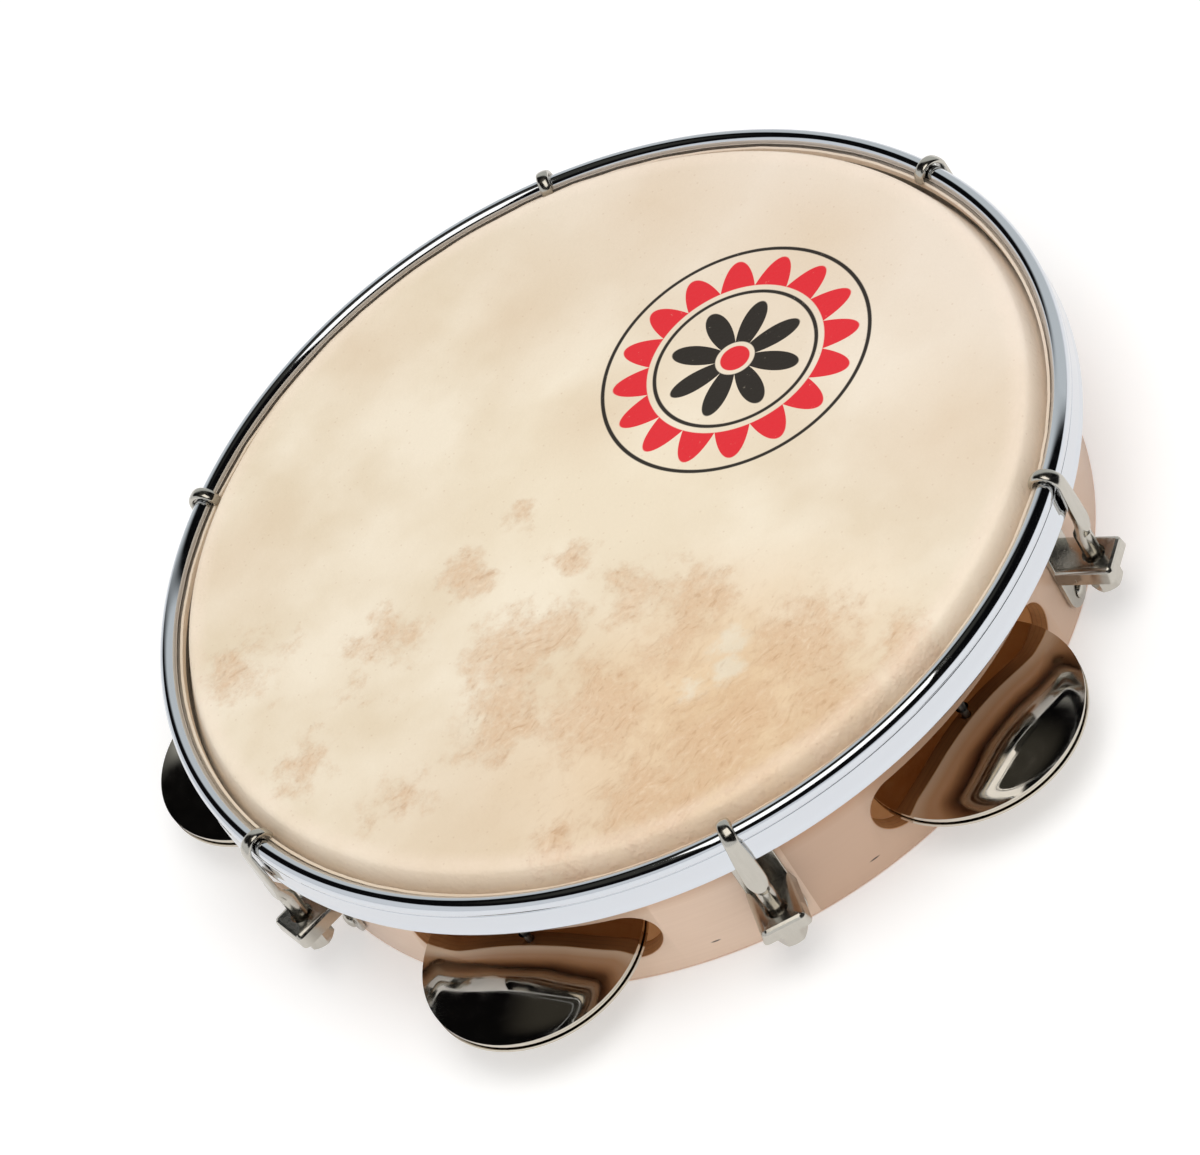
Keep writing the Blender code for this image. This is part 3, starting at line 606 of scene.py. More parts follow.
# %% Wooden shell
SHELL_STEPS = 240
BOTTOM_ROUND = 0.0008
BOTTOM_STEPS = 4
BEARING_ROUND = 0.0015
BEARING_STEPS = 6
PIN_HOLE_RADIUS = 0.0015
RIVET_HOLE_RADIUS = 0.0018
RIVET_HEIGHTS = (0.0068, 0.0350)


def shell_profile():
    """The section of the wooden ring, closed."""
    outer, inner, top = SHELL_RADIUS, BORE_RADIUS, SHELL_HEIGHT
    edge = top - BEARING_ROUND
    points = arc((inner + BOTTOM_ROUND, BOTTOM_ROUND), BOTTOM_ROUND, 180.0, 270.0, BOTTOM_STEPS)
    points += arc((outer - BOTTOM_ROUND, BOTTOM_ROUND), BOTTOM_ROUND, 270.0, 360.0, BOTTOM_STEPS)
    points += arc((outer - BEARING_ROUND, edge), BEARING_ROUND, 0.0, 90.0, BEARING_STEPS)
    points += arc((inner + BEARING_ROUND, edge), BEARING_ROUND, 90.0, 180.0, BEARING_STEPS)
    return points + points[:1]


def wooden_shell():
    shell = turned(shell_profile(), SHELL_STEPS)
    for angle, _ in JINGLE_PLACES:
        cut_with(shell, slot_cutter(angle))
    pin_top = reach("jingle_pin_1")[3]
    for angle, away in JINGLE_PLACES:
        drill(shell, PIN_HOLE_RADIUS, 2 * pin_top, at(angle, away, 0.0))
    wall = SHELL_RADIUS - BORE_RADIUS
    for angle, _ in HOOK_PLACES:
        for height in RIVET_HEIGHTS:
            drill(shell, RIVET_HOLE_RADIUS, 3 * wall, at(angle, (SHELL_RADIUS + BORE_RADIUS) / 2, height),
                  rotation=(0.0, math.pi / 2, angle))
    apply_modifier(shell, "WEIGHTED_NORMAL", keep_sharp=True)
    return shell


hand_over(settle(wooden_shell(), "wooden_shell"), WOOD, "drum", "shell")

# %% [markdown]
# The head is natural goat skin, scraped thin and stretched wet, so it is cream with tan clouds, small
# pores and faint creases. The clouds are placed one by one where the hide is darker. Each fades from its
# middle outwards, noise is added to that, and only then is it cut off at a level, which gives the ragged
# edges of a stain. Creases run through the clouds as short strokes of painted shade and painted
# highlight. Just inside the bearing edge the skin has a lighter band, a painted highlight, and where it
# turns over the edge it has a painted shade. On the upper face a plain ornament of rings, rays and petals
# is printed in red and black ink, a little worn, so that the hide's grain shows through it.

# %% Goat skin
SKIN_THICKNESS = 0.0008
PRINT_CENTRE = (0.0553, -0.0027, 0.0)
RAYS = 16
PETALS = 8
HEART = 0.0045          # radii of the ornament in metres, from its heart to its outer ring
PETAL_FOOT = 0.0060
PETAL_TIP = 0.0210
INNER_RING = 0.0240
RAY_FOOT = 0.0270
RAY_TIP = 0.0375
OUTER_RING = 0.0400
RING_WIDTH = 0.0012
INK_EDGE = 0.00015
PETAL_EDGE = 0.0002
SPREAD = 2.0             # a cloud fades out at this many times its radius
TAN_CLOUDS = (           # x, y and radius in metres, and strength, of the hide's darker places
    (-0.0414, 0.0136, 0.0070, 1.00),
    (-0.0156, 0.0161, 0.0060, 0.75),
    (-0.0189, -0.0107, 0.0060, 0.95),
    (-0.0176, -0.0396, 0.0120, 0.70),
    (-0.0126, -0.0560, 0.0100, 0.95),
    (-0.0523, -0.0212, 0.0130, 1.00),
    (-0.0423, -0.0226, 0.0090, 1.00),
    (-0.0695, 0.0187, 0.0110, 0.75),
    (-0.0994, 0.0530, 0.0140, 0.70),
    (-0.0451, -0.0525, 0.0120, 0.76),
    (-0.0254, -0.0621, 0.0110, 0.72),
    (-0.0077, -0.0972, 0.0150, 0.95),
    (0.0079, -0.1216, 0.0090, 0.90),
    (-0.0717, -0.0362, 0.0120, 0.95),
    (-0.0545, -0.0595, 0.0130, 1.00),
    (-0.0413, -0.0997, 0.0170, 1.00),
    (-0.0621, -0.0954, 0.0150, 0.95),
    (-0.0171, -0.1200, 0.0120, 0.95),
    (-0.0902, 0.0150, 0.0120, 0.45),
    (-0.1128, 0.0068, 0.0100, 0.70),
    (-0.1036, -0.0294, 0.0110, 0.58),
    (-0.0892, -0.0830, 0.0090, 0.80),
)
CREAM_ISLANDS = (        # pale places left inside the clouds
    (-0.0779, -0.0306, 0.0050, 1.00),
    (-0.0180, -0.0760, 0.0050, 1.00),
    (-0.0270, -0.0830, 0.0045, 1.00),
    (-0.0548, 0.0677, 0.0090, 0.90),
    (-0.0330, -0.0780, 0.0060, 0.90),
)
FAINT_CLOUDS = (         # broad faint shadows of the hide
    (0.0700, -0.0824, 0.0170, 1.00),
    (-0.0980, -0.0560, 0.0250, 1.00),
    (-0.0720, -0.0900, 0.0200, 0.90),
    (0.0877, 0.0667, 0.0190, 1.00),
    (0.0990, 0.0080, 0.0190, 1.00),
    (0.0192, 0.0191, 0.0120, 0.85),
    (0.0050, 0.1144, 0.0160, 1.00),
    (-0.0740, 0.0860, 0.0150, 0.90),
    (0.0350, 0.0750, 0.0170, 0.80),
)


def strongest(tree, place, clouds):
    """How strong the strongest of several round clouds is at each point."""
    total = 0.0
    for x, y, radius, strength in clouds:
        away = add(tree, "VectorMath", {0: place, 1: (x, y, 0.0)}, operation="DISTANCE")
        cloud = add(tree, "MapRange", {"Value": away, "From Min": radius * SPREAD, "From Max": 0.0,
                                       "To Max": strength})
        total = add(tree, "Math", {0: total, 1: cloud}, operation="MAXIMUM")
    return total


def ragged(tree, field, rough, depth, start, end):
    """Noise added to a fading field, then cut off at a level."""
    shifted = add(tree, "Math", {0: rough, 1: depth, 2: field}, operation="MULTIPLY_ADD")
    return add(tree, "MapRange", {"Value": shifted, "From Min": start + depth / 2,
                                  "From Max": end + depth / 2}, interpolation_type="SMOOTHSTEP")


def polar(tree, place, centre):
    """Distance from a centre and angle round it, on the skin's own plane."""
    moved = add(tree, "VectorMath", {0: place, 1: centre}, operation="SUBTRACT")
    x, y, _ = add(tree, "SeparateXYZ", {0: moved}).outputs
    away = add(tree, "VectorMath", {0: add(tree, "CombineXYZ", {0: x, 1: y})}, operation="LENGTH")
    return away, add(tree, "Math", {0: y, 1: x}, operation="ARCTAN2")


def band(tree, away, low, high):
    """One where a distance lies between two radii, with a soft printed edge."""
    over = add(tree, "MapRange", {"Value": away, "From Min": low - INK_EDGE, "From Max": low + INK_EDGE})
    under = add(tree, "MapRange", {"Value": away, "From Min": high + INK_EDGE, "From Max": high - INK_EDGE})
    return add(tree, "Math", {0: over, 1: under}, operation="MULTIPLY")


def petal_shape(tree, away, angle, count, phase, foot, tip):
    """Petals round a circle: from their foot outwards, and under a limit that swells count times."""
    turns = add(tree, "Math", {0: angle, 1: count / 2, 2: phase}, operation="MULTIPLY_ADD")
    cosine = add(tree, "Math", {0: turns}, operation="COSINE")
    swell = add(tree, "Math", {0: cosine}, operation="ABSOLUTE")
    limit = add(tree, "Math", {0: swell, 1: tip - foot, 2: foot}, operation="MULTIPLY_ADD")
    gap = add(tree, "Math", {0: limit, 1: away}, operation="SUBTRACT")
    below = add(tree, "MapRange", {"Value": gap, "From Min": -PETAL_EDGE, "From Max": PETAL_EDGE})
    return add(tree, "Math", {0: below, 1: band(tree, away, foot, OUTER_RING)}, operation="MULTIPLY")


def ornament(tree, place):
    """Masks of the red and the black ink: rings, sixteen rays and an eight petalled flower."""
    away, angle = polar(tree, place, PRINT_CENTRE)
    rays = petal_shape(tree, away, angle, RAYS, 0.0, RAY_FOOT, RAY_TIP)
    red = add(tree, "Math", {0: rays, 1: band(tree, away, -HEART, HEART)}, operation="MAXIMUM")
    flower = petal_shape(tree, away, angle, PETALS, math.pi / 2, PETAL_FOOT, PETAL_TIP)
    rings = add(tree, "Math", {0: band(tree, away, INNER_RING, INNER_RING + RING_WIDTH),
                               1: band(tree, away, OUTER_RING, OUTER_RING + RING_WIDTH)},
                operation="MAXIMUM")
    return red, add(tree, "Math", {0: flower, 1: rings}, operation="MAXIMUM")


def hide_colour(tree, place, fine):
    """The hide without its ink: cream ground, tan clouds and a wash round them, creases in painted shade
    and highlight, a painted highlight inside the bearing edge and painted shade over it; also how strong
    the clouds are.
    """
    drift = add(tree, "TexNoise", {"Vector": place, "Scale": 38.0, "Detail": 3.0}).outputs["Color"]
    shift = add(tree, "VectorMath", {0: drift, 1: (0.5, 0.5, 0.5)}, operation="SUBTRACT")
    wandering = add(tree, "VectorMath", {0: shift, 1: (0.022, 0.022, 0.022), 2: place},
                    operation="MULTIPLY_ADD")
    flat = add(tree, "VectorMath", {0: wandering, 1: (1.0, 1.0, 0.0)}, operation="MULTIPLY")
    rough = add(tree, "TexNoise", {"Vector": place, "Scale": 130.0, "Detail": 7.0, "Roughness": 0.68})
    tan = ragged(tree, strongest(tree, flat, TAN_CLOUDS), rough, 1.5, 0.26, 0.74)
    pale = ragged(tree, strongest(tree, flat, CREAM_ISLANDS), rough, 1.7, 0.34, 0.86)
    open_part = add(tree, "Math", {0: 1.0, 1: pale}, operation="SUBTRACT")
    broad = add(tree, "TexNoise", {"Vector": place, "Scale": 24.0, "Detail": 4.0})
    paleness = add(tree, "MapRange", {"Value": broad, "From Min": 0.38, "From Max": 0.62})
    from_middle = add(tree, "VectorMath", {0: flat, 1: (0.0, 0.0, 0.0)}, operation="DISTANCE")
    scraped = add(tree, "MapRange", {"Value": from_middle, "From Min": 0.065, "From Max": 0.020,
                                     "To Max": 0.5})
    x, _, height = add(tree, "SeparateXYZ", {0: place}).outputs
    right = add(tree, "MapRange", {"Value": x, "From Min": 0.02, "From Max": 0.11, "To Max": 0.75})
    from_wash = add(tree, "VectorMath", {0: flat, 1: (-0.044, -0.096, 0.0)}, operation="DISTANCE")
    wash = add(tree, "MapRange", {"Value": from_wash, "From Min": 0.082, "From Max": 0.010, "To Max": 0.68},
               interpolation_type="SMOOTHSTEP")
    washed = add(tree, "Math", {0: wash, 1: open_part}, operation="MULTIPLY")
    faint = add(tree, "Math", {0: strongest(tree, flat, FAINT_CLOUDS), 1: 0.62}, operation="MULTIPLY")
    grainy = add(tree, "MapRange", {"Value": fine, "From Min": 0.30, "From Max": 0.68, "To Min": 0.36,
                                    "To Max": 0.70})
    open_tan = add(tree, "Math", {0: tan, 1: open_part}, operation="MULTIPLY")
    stain = add(tree, "Math", {0: open_tan, 1: grainy}, operation="MULTIPLY")
    stroke_place = add(tree, "Mapping", {"Vector": wandering, "Rotation": (0.0, 0.0, 0.5),
                                         "Scale": (0.35, 1.0, 1.0)})
    strokes = add(tree, "TexNoise", {"Vector": stroke_place, "Scale": 620.0, "Detail": 2.0})
    # painted shade and painted highlight: dark and light strokes along the creases
    dark = add(tree, "MapRange", {"Value": strokes, "From Min": 0.56, "From Max": 0.72, "To Max": 0.34})
    light = add(tree, "MapRange", {"Value": strokes, "From Min": 0.44, "From Max": 0.30, "To Max": 0.26})
    rough_hide = add(tree, "Math", {0: tan, 1: washed}, operation="MAXIMUM")
    painted_crease_shade = add(tree, "Math", {0: dark, 1: rough_hide}, operation="MULTIPLY")
    painted_crease_highlight = add(tree, "Math", {0: light, 1: rough_hide}, operation="MULTIPLY")
    away = add(tree, "VectorMath", {0: place, 1: (0.0, 0.0, SKIN_TOP)}, operation="DISTANCE")
    # painted highlight: a lighter band just inside the bearing edge
    near_hoop = add(tree, "MapRange", {"Value": away, "From Min": SHELL_RADIUS - 0.0060,
                                       "From Max": SHELL_RADIUS - 0.0020, "To Max": 0.55})
    painted_rim_highlight = add(tree, "Math", {0: near_hoop, 1: rough}, operation="MULTIPLY")
    # painted shade: darker, pinker skin where it turns over the bearing edge
    painted_edge_shade = add(tree, "MapRange", {"Value": height, "From Min": SKIN_TOP - 0.0006,
                                       "From Max": SKIN_TOP - 0.0030, "To Max": 0.25})
    hide = coats(tree, "DFCFB5", (paleness, "EBDFCA"), (scraped, "EEE2CB"), (right, "E8DBCD"),
                 (washed, "DEBA8D"), (faint, "D8C2A6"), (stain, "D2AE8A"), (painted_crease_shade, "AD8158"),
                 (painted_crease_highlight, "F3E0C6"), (painted_rim_highlight, "F6E3D2"), (painted_edge_shade, "E2CDB5"))
    return hide, tan, height


def skin_material():
    material, tree, shader, place = new_material("natural_goat_skin")
    fine = add(tree, "TexNoise", {"Vector": place, "Scale": 480.0, "Detail": 4.0, "Roughness": 0.7})
    hide, tan, height = hide_colour(tree, place, fine)
    speck = add(tree, "TexVoronoi", {"Vector": place, "Scale": 330.0})
    dots = add(tree, "MapRange", {"Value": speck, "From Min": 0.14, "From Max": 0.05, "To Max": 0.34})
    specks = add(tree, "Math", {0: dots, 1: fine}, operation="MULTIPLY")
    red, black = ornament(tree, place)
    worn = add(tree, "MapRange", {"Value": fine, "From Min": 0.22, "From Max": 0.34, "To Min": 0.55,
                                  "To Max": 0.97})
    upper_face = add(tree, "Math", {0: height, 1: SKIN_TOP - SKIN_THICKNESS / 2}, operation="GREATER_THAN")
    inked = add(tree, "Math", {0: worn, 1: upper_face}, operation="MULTIPLY")
    red_ink = add(tree, "Math", {0: red, 1: inked}, operation="MULTIPLY")
    black_ink = add(tree, "Math", {0: black, 1: inked}, operation="MULTIPLY")
    colour = coats(tree, hide, (specks, "A97F5C"), (red_ink, "DB1127"), (black_ink, "15110F"))
    pores = add(tree, "TexVoronoi", {"Vector": place, "Scale": 800.0})
    crease_place = add(tree, "Mapping", {"Vector": place, "Rotation": (0.0, 0.0, 0.6),
                                         "Scale": (1.0, 0.25, 1.0)})
    creases = add(tree, "TexNoise", {"Vector": crease_place, "Scale": 260.0, "Detail": 3.0})
    porous = add(tree, "Math", {0: fine, 1: pores}, operation="ADD")
    grain = add(tree, "Math", {0: creases, 1: porous}, operation="ADD")
    raised = add(tree, "MapRange", {"Value": tan, "To Min": 0.55, "To Max": 1.4})
    relief = add(tree, "Math", {0: grain, 1: raised}, operation="MULTIPLY")
    bump = add(tree, "Bump", {"Strength": 0.65, "Distance": 0.00022, "Height": relief})
    fill(tree, shader, {"Base Color": colour, "Normal": bump, "Roughness": 0.68,
                        "Specular IOR Level": 0.22})
    return material


SKIN = skin_material()

# %% [markdown]
# The skin is one sheet from the middle of the head over the bearing edge, down and once round a wire
# ring, and up again to a trimmed end that stands inside the hoop. We draw the middle line of that sheet,
# spin it, let the trimmed end wander a little as a knife leaves it, and give the sheet its thickness.

# %% Drum skin
SKIN_GAP = 0.0003
BEAD_DIAMETER = 0.0052
COLLAR_BELOW_BEAD = 0.0028
COLLAR_BEAD_GAP = 0.0007
COLLAR_STEP = 0.0010
TRIM_WANDER = 0.00035   # the knife leaves the trimmed end a little uneven
TRIM_WAVES = 180.0
TRIM_LOSS = 0.0001
SKIN_STEPS = 256
BEND_STEPS = 8
FOLD_OVER_STEPS = 20
FLAT_SHARES = (0.25, 0.5, 0.75, 0.9, 0.97)      # where the flat part gets its rings, closer near the edge
HOOP_WALL = 0.0012
HOOP_FLARE = 0.00035
SKIRT_OUTER = HOOP_REACH - HOOP_FLARE
BEAD_RADIUS = BEAD_DIAMETER / 2
BEAD_CENTRE = (SKIRT_OUTER - BEAD_RADIUS, HOOP_TOP - BEAD_RADIUS)
FLESH_CENTRE = ((ROD_NEAR + ROD_FAR) / 2, (ROD_LOW + ROD_HIGH) / 2)
WRAP_RADIUS = (ROD_FAR - ROD_NEAR) / 2 + SKIN_GAP + SKIN_THICKNESS / 2
WRAP_END_ANGLE = 465.0


def skin_line():
    """Middle of the sheet as (radius, height), from the axis to the trimmed end."""
    middle = SKIN_TOP - SKIN_THICKNESS / 2
    bend = (SHELL_RADIUS - BEARING_ROUND, SHELL_HEIGHT - BEARING_ROUND)
    bend_radius = middle - bend[1]
    across = FLESH_CENTRE[0] - bend[0]
    down = bend[1] - FLESH_CENTRE[1]
    lean = math.asin((bend_radius + WRAP_RADIUS) / math.hypot(across, down))
    leave_angle = 90.0 - math.degrees(math.atan2(down, across) + lean)
    points = [(0.0, middle)]
    points += [(bend[0] * share, middle) for share in FLAT_SHARES]
    points += arc(bend, bend_radius, 90.0, leave_angle, BEND_STEPS)
    points += arc(FLESH_CENTRE, WRAP_RADIUS, leave_angle + 180.0, WRAP_END_ANGLE, FOLD_OVER_STEPS)
    collar = BEAD_CENTRE[0] - BEAD_RADIUS - COLLAR_BEAD_GAP - SKIN_THICKNESS / 2
    end = HOOP_TOP - COLLAR_BELOW_BEAD
    points += [(collar, end - COLLAR_STEP * step) for step in (2, 1, 0)]
    return points, end


def drum_skin():
    points, end = skin_line()
    skin = turned(points, SKIN_STEPS)
    for corner in skin.data.vertices:
        if abs(corner.co.z - end) < MERGE_DISTANCE and math.hypot(corner.co.x, corner.co.y) > BORE_RADIUS:
            corner.co.z += TRIM_WANDER * noise.noise(corner.co * TRIM_WAVES) - TRIM_LOSS
    apply_modifier(skin, "SOLIDIFY", thickness=SKIN_THICKNESS, offset=0.0, use_even_offset=True)
    return skin


hand_over(settle(drum_skin(), "goat_skin_head", smooth_angle=50.0), SKIN, "drum", "drum_skin")

# %% [markdown]
# The hoop is rolled steel with bright chrome plate: mirror smooth and slightly blue. The strip is rolled
# in passes, so its reflections waver a little along the rim. That waver is drawn as a very low bump.

# %% Bright chrome
def chrome_material():
    material, tree, shader, place = new_material("bright_chrome_on_rolled_steel")
    waver = add(tree, "TexNoise", {"Vector": place, "Scale": 60.0, "Detail": 1.0})
    bump = add(tree, "Bump", {"Strength": 0.10, "Distance": 0.0003, "Height": waver})
    film = add(tree, "TexNoise", {"Vector": place, "Scale": 300.0, "Detail": 3.0})
    haze = add(tree, "MapRange", {"Value": film, "From Min": 0.35, "From Max": 0.75, "To Min": 0.03,
                                  "To Max": 0.09})
    fill(tree, shader, {"Base Color": linear("DBDFE5"), "Metallic": 1.0, "Roughness": haze, "Normal": bump})
    return material


CHROME = chrome_material()

# %% [markdown]
# The hoop's section is a flat skirt with a round bead rolled along its top, a fine groove under the bead
# where the strip folds back, and a slight flare at the foot. The section closes on itself, so the spun
# piece is solid.

# %% Counterhoop
GROOVE_DEPTH = 0.00018
GROOVE_HALF = 0.00035
FLARE_HEIGHT = 0.0026
FLARE_STEPS = 8
GROOVE_STEPS = 4        # on each side of the groove's middle
BEAD_START = -6.0       # degrees on the bead where the groove ends
BEAD_STEPS = 36
HOOP_STEPS = 320


def hoop_section():
    """The section of the metal hoop, closed."""
    groove = BEAD_CENTRE[1] - BEAD_RADIUS / 2
    joint = -math.degrees(math.acos((SKIRT_INNER - BEAD_CENTRE[0]) / BEAD_RADIUS))
    foot = HOOP_WALL / 4
    points = arc((SKIRT_INNER + foot, HOOP_BOTTOM + foot), foot, 180.0, 270.0, EASE_STEPS)
    points += arc((HOOP_REACH - foot, HOOP_BOTTOM + foot), foot, 270.0, 360.0, EASE_STEPS)
    for step in range(FLARE_STEPS + 1):
        share = step / FLARE_STEPS
        ease = share * share * (3 - 2 * share)
        points.append((HOOP_REACH - HOOP_FLARE * ease, HOOP_BOTTOM + foot + FLARE_HEIGHT * share))
    points += [(SKIRT_OUTER, groove - GROOVE_HALF * 1.5)]
    for step in range(-GROOVE_STEPS, GROOVE_STEPS + 1):
        dip = math.cos(math.pi / 2 * step / GROOVE_STEPS) ** 2
        points.append((SKIRT_OUTER - GROOVE_DEPTH * dip, groove + GROOVE_HALF * step / GROOVE_STEPS))
    points += arc(BEAD_CENTRE, BEAD_RADIUS, BEAD_START, joint + 360.0, BEAD_STEPS)
    return points + points[:1]


hoop = settle(turned(hoop_section(), HOOP_STEPS), "chromed_hoop", smooth_angle=40.0)
hand_over(hoop, CHROME, "drum", "counterhoop")

# %% [markdown]
# Hooks, brackets, nuts and rivets are plain steel with nickel plate, which is warmer and softer than
# chrome. The plating follows the steel below it, so it has a faint grain and is a little duller in
# places. The brackets are pressed from rolled sheet, which isn't polished before plating, so theirs is a
# satin nickel.

# %% Nickel plate
def nickel_material(name, smoothest, roughest):
    material, tree, shader, place = new_material(name)
    drawn = add(tree, "Mapping", {"Vector": place, "Scale": (1.0, 1.0, 0.2)})
    marks = add(tree, "TexNoise", {"Vector": drawn, "Scale": 900.0, "Detail": 3.0})
    haze = add(tree, "MapRange", {"Value": marks, "From Min": 0.3, "From Max": 0.75, "To Min": smoothest,
                                  "To Max": roughest})
    dents = add(tree, "TexNoise", {"Vector": place, "Scale": 260.0, "Detail": 2.0})
    bump = add(tree, "Bump", {"Strength": 0.05, "Distance": 0.0001, "Height": dents})
    fill(tree, shader, {"Base Color": coats(tree, "BEBAB1", (marks, "CDC9C0")), "Metallic": 1.0,
                        "Roughness": haze, "Normal": bump})
    return material


NICKEL = nickel_material("nickel_plate_on_forged_steel", 0.10, 0.24)
SATIN_NICKEL = nickel_material("satin_nickel_plate_on_pressed_sheet", 0.17, 0.28)

# %% [markdown]
# A real hook starts as a round bar. Its top is hammered flat, which leaves a pointed facet where flat
# meets round, and the flat end is bent over the bead. We model a straight round bar with a ring of
# corners for each station, made by extruding its end face again and again, and then move each ring to its
# place: round at the thread, flat in the strap, and softly round again where it is drawn thin to go over
# the bead.

# %% Tension hook
ROD_RADIUS = 0.0025
STRAP_THICKNESS = 0.0019
STRAP_WIDTH = 0.0060
ARCH_WIDTH = 0.0044
TIP_WIDTH = 0.0034
NECK_LENGTH = 0.0060
FACET_LENGTH = 0.0040
NECK_STEPS = 14
STRAP_STEPS = 8
ARCH_STEPS = 24
ARCH_ANGLE = 172.0
HOOK_SIDES = 48
ROUND = 2.0             # squareness of a ring: 2 is round, and a higher value nears a box
SOFT = 2.4
SQUARE = 6.0
THREAD_CHAMFER = 0.0005
THREAD_END = 0.84       # share of the rod's radius at its chamfered end
TIP_RINGS = ((0.85, 0.0003), (0.5, 0.0005))     # share of the section, and how far past the arch


def hook_stations():
    """For each ring: its place, lean, half thickness, half width, squareness, and flats front and back."""
    _, outer, low, top = reach("tension_hook_1")
    rod_x = HOOK_PLACES[0][1]
    strap_x = outer - STRAP_THICKNESS / 2
    travel = [joint for joint in frame["joints"] if joint["name"] == "hook_travel_1"][0]["range_m"][1]
    strap_low = HOOP_BOTTOM - travel - SKIN_GAP
    neck_low = strap_low - NECK_LENGTH
    arch_radius = strap_x - BEAD_CENTRE[0]
    arch_z = top - STRAP_THICKNESS / 2 - arch_radius
    half = STRAP_THICKNESS / 2
    free = 2 * ROD_RADIUS
    stations = [(rod_x, low, 0.0, ROD_RADIUS * THREAD_END, ROD_RADIUS * THREAD_END, ROUND, free, free),
                (rod_x, low + THREAD_CHAMFER, 0.0, ROD_RADIUS, ROD_RADIUS, ROUND, free, free)]
    for step in range(NECK_STEPS + 1):
        share = step / NECK_STEPS
        ease = share * share * (3 - 2 * share)
        wide = ROD_RADIUS + (STRAP_WIDTH / 2 - ROD_RADIUS) * ease
        cut = max(0.0, (NECK_LENGTH * share - NECK_LENGTH + FACET_LENGTH) / FACET_LENGTH)
        front = ROD_RADIUS + (half - ROD_RADIUS) * cut
        back = ROD_RADIUS + (half - ROD_RADIUS) * ease
        stations.append((rod_x + (strap_x - rod_x) * share, neck_low + NECK_LENGTH * share, 0.0, wide, wide,
                         ROUND, front, back))
    for step in range(1, STRAP_STEPS + 1):
        share = step / STRAP_STEPS
        ease = share * share
        stations.append((strap_x, strap_low + (arch_z - strap_low) * share, 0.0, half,
                         (STRAP_WIDTH + (ARCH_WIDTH - STRAP_WIDTH) * ease) / 2,
                         SQUARE + (SOFT - SQUARE) * share, free, free))
    for step in range(1, ARCH_STEPS + 1):
        share = step / ARCH_STEPS
        lean = math.radians(ARCH_ANGLE) * share
        wide = (ARCH_WIDTH + (TIP_WIDTH - ARCH_WIDTH) * share) / 2
        stations.append((BEAD_CENTRE[0] + arch_radius * math.cos(lean),
                         arch_z + arch_radius * math.sin(lean), lean, half, wide, SOFT, free, free))
    x, z, lean = stations[-1][:3]
    for shrink, ahead in TIP_RINGS:
        stations.append((x - ahead * math.sin(lean), z + ahead * math.cos(lean), lean, half * shrink,
                         TIP_WIDTH / 2 * shrink, SOFT, free, free))
    return stations


def power(value, exponent):
    """A power that keeps the sign."""
    return math.copysign(abs(value) ** exponent, value)


def shaped_bar(stations, sides):
    """A straight bar with one ring of corners for each station, each ring then moved to its place."""
    start_fresh()
    bpy.ops.mesh.primitive_cylinder_add(vertices=sides, radius=1.0, depth=1.0, location=(0.0, 0.0, 0.5))
    bar = bpy.context.object
    bpy.ops.object.transform_apply(location=True, rotation=True, scale=True)
    pick("polygons", lambda face, middle: face.normal.z > PARALLEL)
    for _ in stations[2:]:
        bpy.ops.mesh.extrude_region_move(TRANSFORM_OT_translate={"value": (0.0, 0.0, 1.0)})
    bpy.ops.object.mode_set(mode="OBJECT")
    for corner in bar.data.vertices:
        x, z, lean, thick, wide, square, front, back = stations[round(corner.co.z)]
        turn = math.atan2(corner.co.y, corner.co.x)
        out = thick * power(math.cos(turn), 2 / square)
        side = wide * power(math.sin(turn), 2 / square)
        out = max(-back, min(front, out))
        corner.co = Vector((x + out * math.cos(lean), side, z + out * math.sin(lean)))
    return bar


def tension_hook():
    hook = shaped_bar(hook_stations(), HOOK_SIDES)
    apply_modifier(hook, "WEIGHTED_NORMAL", keep_sharp=True)
    return hook


def copies(master, name, finish, places, body, node):
    """One copy of a finished piece at each place, each with its own mesh and its own body."""
    for number, place in enumerate(places, start=1):
        piece = master.copy()
        piece.data = master.data.copy()
        piece.name = f"{name}_{number}"
        piece.data.transform(place)
        bpy.context.scene.collection.objects.link(piece)
        hand_over(piece, finish, body.format(number), node.format(number))
    bpy.data.objects.remove(master, do_unlink=True)


RIM_PLACES = [Matrix.Rotation(angle, 4, "Z") for angle, _ in HOOK_PLACES]
copies(settle(tension_hook(), "hook"), "strap_hook", NICKEL, RIM_PLACES, "hook_{}", "tension_hook_{}")

# %% [markdown]
# The nuts are tall hexagons. On a turned nut the corners are cut back by a cone, which leaves the curved
# edges that everyone knows. So a six sided prism is intersected with a turned shape that has cone ends,
# then bored.

# %% Tension nut
NUT_FLATS = 0.0080
NUT_BORE = 0.0056
FACE_SHARE = 0.95       # the flat round face, as a share of the nut's flats
CORNER_SPARE = 1.02     # the cone reaches a little past the corners
CONE_SLOPE = 1.1
CONE_STEPS = 96
BORE_SIDES = 48


